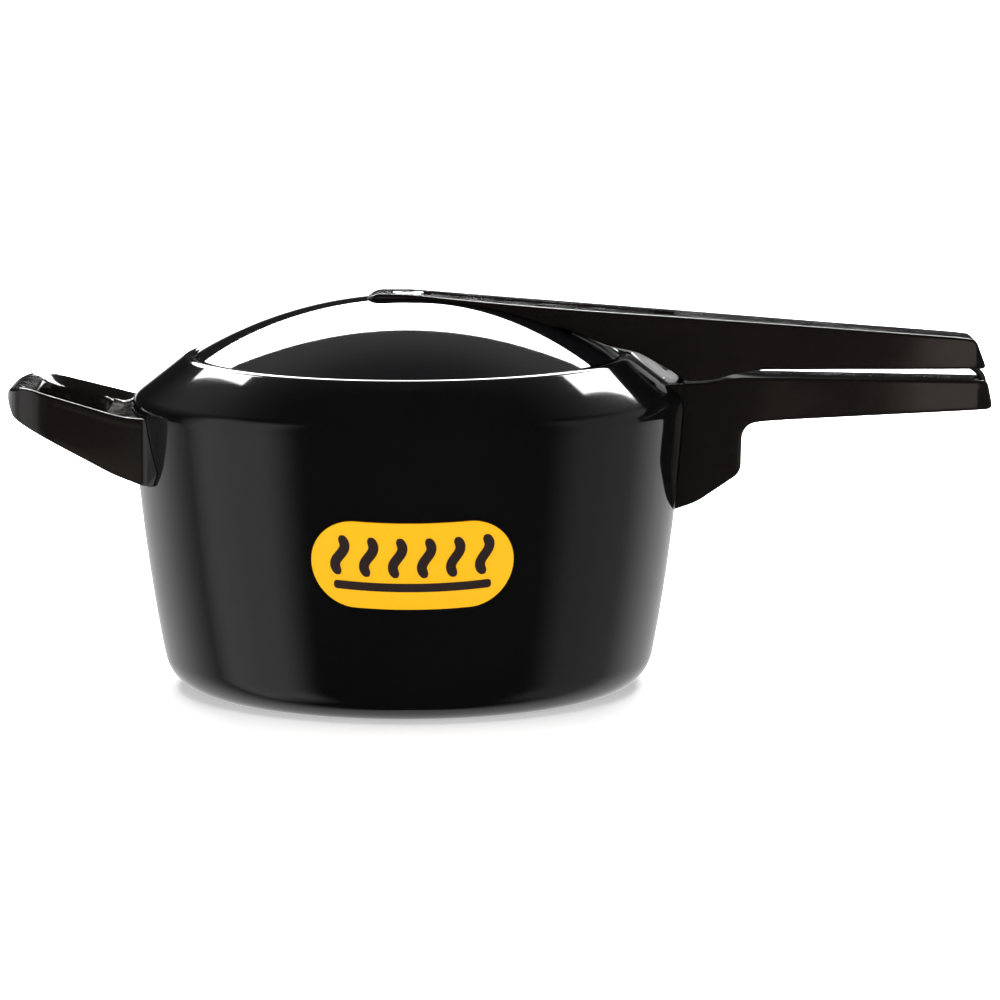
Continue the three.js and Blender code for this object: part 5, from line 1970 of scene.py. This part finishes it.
@dataclass(frozen=True)
class Lamp:
    """A soft lamp: where it hangs, which way it faces, its size and its radiance, in metres."""

    name: str
    place: Point3
    toward: Point3
    size: Point2
    radiance: float
    shape: Shape = Shape.SQUARE
    turn: float = 0.0
    mirrored: bool = True
    tint: Colour = (1.0, 1.0, 1.0)
    handles_only: bool = False

    def hang(self, handles: bpy.types.Collection) -> None:
        """Make the lamp; one that is mirrored shows in glossy surfaces.

        Args:
            handles: What a lamp for the handles alone shines on.
        """
        data = bpy.data.lights.new(self.name, "AREA")
        data.shape = self.shape.value
        data.size, data.size_y = self.size
        area = self.size[0] * self.size[1] * (math.pi / 4 if self.shape is Shape.ROUND else 1.0)
        data.energy = 4 * area * self.radiance
        data.color = self.tint
        light = bpy.data.objects.new(self.name, data)
        light.location = self.place
        facing = (Vector(self.toward) - Vector(self.place)).to_track_quat("-Z", "Y")
        light.rotation_euler = (facing.to_matrix() @ Matrix.Rotation(self.turn, 3, "Z")).to_euler()
        light.visible_glossy = self.mirrored
        light.visible_camera = False
        if self.handles_only:
            light.light_linking.receiver_collection = handles
        bpy.context.scene.collection.objects.link(light)


@dataclass
class Studio:
    """Plain pale floor, soft light and the camera.

    Places and sizes are in metres. The room that glossy surfaces see is given in degrees: the turn
    where its lit half behind the object fades in, its horizon, and the heights where the dim light
    of its upper wall rises and falls.
    """

    distance: float = 2.0209
    aim: Point3 = (0.040, 0.0, 0.0802)
    elevation: float = math.radians(8.246)
    lens: float = 166.03
    ceiling: float = 0.5
    ambient: float = 0.02
    floor_r: float = 14.0
    behind: Point2 = (95.0, 40.0)
    horizon: Point2 = (2.0, -1.5)
    room_rise: Point2 = (12.0, 42.0)
    room_fall: Point2 = (42.0, 64.0)
    room_light: float = 0.25
    room_loss: float = 0.68
    warm: Colour = (1.0, 0.88, 0.76)
    glows: tuple[Glow, ...] = (
        Glow(-103.0, -10.0, 24.0, 46.0, 22.0, 0.9),
        Glow(76.0, -10.0, 34.0, 46.0, 22.0, 0.4),
    )

    def camera(self) -> None:
        """Place the camera and make it the scene's."""
        data = bpy.data.cameras.new("camera")
        data.lens = self.lens
        data.sensor_width = 36.0
        data.clip_end = 60.0
        camera = bpy.data.objects.new("camera", data)
        back = Vector((0.0, -math.cos(self.elevation), math.sin(self.elevation)))
        camera.location = Vector(self.aim) + back * self.distance
        camera.rotation_euler = (QUARTER - self.elevation, 0.0, 0.0)
        bpy.context.scene.collection.objects.link(camera)
        bpy.context.scene.camera = camera

    def surroundings(self) -> None:
        """Paint what glossy surfaces see beyond the lamps: a dim room with two soft side glows."""
        world = bpy.data.worlds.new("studio")
        world.use_nodes = True
        bpy.context.scene.world = world
        tree = world.node_tree
        tree.nodes.clear()

        def maths(operation: str, *values: object) -> Socket:
            """One arithmetic node."""
            return arithmetic(tree, operation, *values)

        def step(value: Socket, low: float, high: float) -> Socket:
            """A smooth step.

            Args:
                value: What is read.
                low: Where the step is 0.
                high: Where it is 1.

            Returns:
                The step's value.
            """
            node = tree.nodes.new("ShaderNodeMapRange")
            node.interpolation_type = "SMOOTHSTEP"
            node.inputs["From Min"].default_value = low
            node.inputs["From Max"].default_value = high
            tree.links.new(value, node.inputs["Value"])
            return node.outputs["Result"]

        split = tree.nodes.new("ShaderNodeSeparateXYZ")
        tree.links.new(tree.nodes.new("ShaderNodeTexCoord").outputs["Generated"], split.inputs[0])
        degrees = 180.0 / math.pi
        turn = maths("MULTIPLY", maths("ARCTAN2", split.outputs["X"], split.outputs["Y"]), degrees)
        height = maths("MULTIPLY", maths("ARCSINE", split.outputs["Z"]), degrees)
        behind = step(maths("ABSOLUTE", turn), *self.behind)
        light = maths("MULTIPLY", step(height, *self.horizon), behind)
        for glow in self.glows:
            sides = maths("ABSOLUTE", maths("SUBTRACT", turn, glow.turn))
            ends = maths("ABSOLUTE", maths("SUBTRACT", height, glow.height))
            reach = glow.soft / 2
            mask = maths("MULTIPLY", step(sides, glow.half_turn + reach, glow.half_turn - reach),
                         step(ends, glow.half_height + reach, glow.half_height - reach))
            light = maths("MAXIMUM", light, maths("MULTIPLY", mask, glow.strength))
        rise = maths("MULTIPLY", step(height, *self.room_rise), self.room_light)
        fall = maths("SUBTRACT", 1.0, maths("MULTIPLY", step(height, *self.room_fall), self.room_loss))
        room = maths("MULTIPLY", maths("MULTIPLY", rise, fall), behind)
        light = maths("MAXIMUM", light, room)
        seen = tree.nodes.new("ShaderNodeBackground")
        tree.links.new(maths("ADD", light, self.ambient), seen.inputs["Strength"])
        plain = tree.nodes.new("ShaderNodeBackground")
        mix = tree.nodes.new("ShaderNodeMixShader")
        path = tree.nodes.new("ShaderNodeLightPath")
        tree.links.new(path.outputs["Is Camera Ray"], mix.inputs[0])
        tree.links.new(seen.outputs[0], mix.inputs[1])
        tree.links.new(plain.outputs[0], mix.inputs[2])
        out = tree.nodes.new("ShaderNodeOutputWorld")
        tree.links.new(mix.outputs[0], out.inputs["Surface"])

    def floor(self) -> None:
        """Lay a plain pale floor."""
        work = bmesh.new()
        bmesh.ops.create_circle(work, cap_ends=True, radius=self.floor_r, segments=96)
        floor = shop.from_bmesh("floor", work)
        floor.visible_glossy = False
        shader = Shader("pale floor")
        tint = shader.noise(shader.place, 3.0)
        shader.tinted(tint, (0.9, 0.9, 0.9), (0.93, 0.93, 0.93))
        shader.fixed(Roughness=1.0, Specular_IOR_Level=0.0, Emission_Strength=0.42,
                     Emission_Color=(1.0, 1.0, 1.0, 1.0))
        floor.data.materials.append(shader.material)

    def lamps(self) -> list[Lamp]:
        """The big lamp overhead with its two side wings, and the fill lamps in front."""
        up, down = self.ceiling, self.ceiling - 1.0
        wing = math.radians(17.0)
        return [
            Lamp("overhead lamp", (0.0, 0.947, up), (0.0, 0.947, down), (0.94, 1.2), 11.0, Shape.ROUND),
            Lamp("left wing", (-0.36, 0.405, up), (-0.36, 0.405, down), (0.10, 0.46), 11.0, turn=wing),
            Lamp("right wing", (0.378, 0.405, up), (0.378, 0.405, down), (0.10, 0.46), 11.0, turn=-wing),
            Lamp("front fill", (-0.5, -2.6, 0.75), self.aim, (1.6, 1.2), 2.8, mirrored=False),
            Lamp("right fill", (1.9, -1.5, 0.8), self.aim, (1.0, 1.0), 2.3, mirrored=False),
            Lamp("handle glow", (0.50, -1.0, 0.03), (0.25, 0.0, 0.15), (0.30, 0.22), 0.6,
                 tint=self.warm, handles_only=True),
            Lamp("loop glow", (-0.51, -1.0, -0.02), (-0.14, 0.0, 0.12), (0.36, 0.22), 0.2,
                 tint=self.warm, handles_only=True),
        ]

    def daylight(self) -> None:
        """Light the floor evenly from straight above."""
        data = bpy.data.lights.new("daylight", "SUN")
        data.energy, data.angle = 2.1, math.radians(60.0)
        light = bpy.data.objects.new("daylight", data)
        light.visible_glossy = False
        bpy.context.scene.collection.objects.link(light)

    def build(self) -> None:
        """Light the scene and lay the floor."""
        bpy.context.scene.view_settings.view_transform = "Standard"
        self.surroundings()
        self.floor()
        self.daylight()
        handles = bpy.data.collections.new("handles")
        for piece in bpy.context.scene.objects:
            if piece.type == "MESH" and shop.materials[Slot.PHENOLIC] in list(piece.data.materials):
                handles.objects.link(piece)
        for lamp in self.lamps():
            lamp.hang(handles)


def main() -> None:
    """Build the cooker piece by piece, with the camera and the studio around it."""
    logging.basicConfig(level=logging.INFO, format="%(name)s: %(message)s")
    studio = Studio()
    studio.camera()
    pot = PotShape()
    layout = Layout(pot)
    lid = Lid(layout)
    Pot(pot).build()
    Badge(pot).build()
    BodyHandle(layout).build()
    HelperHandle(pot).build()
    lid.build()
    LidHandle(layout, lid).build()
    SteamRelease(layout).build()
    LockLink(layout).build()
    studio.build()


if __name__ == "__main__":
    main()
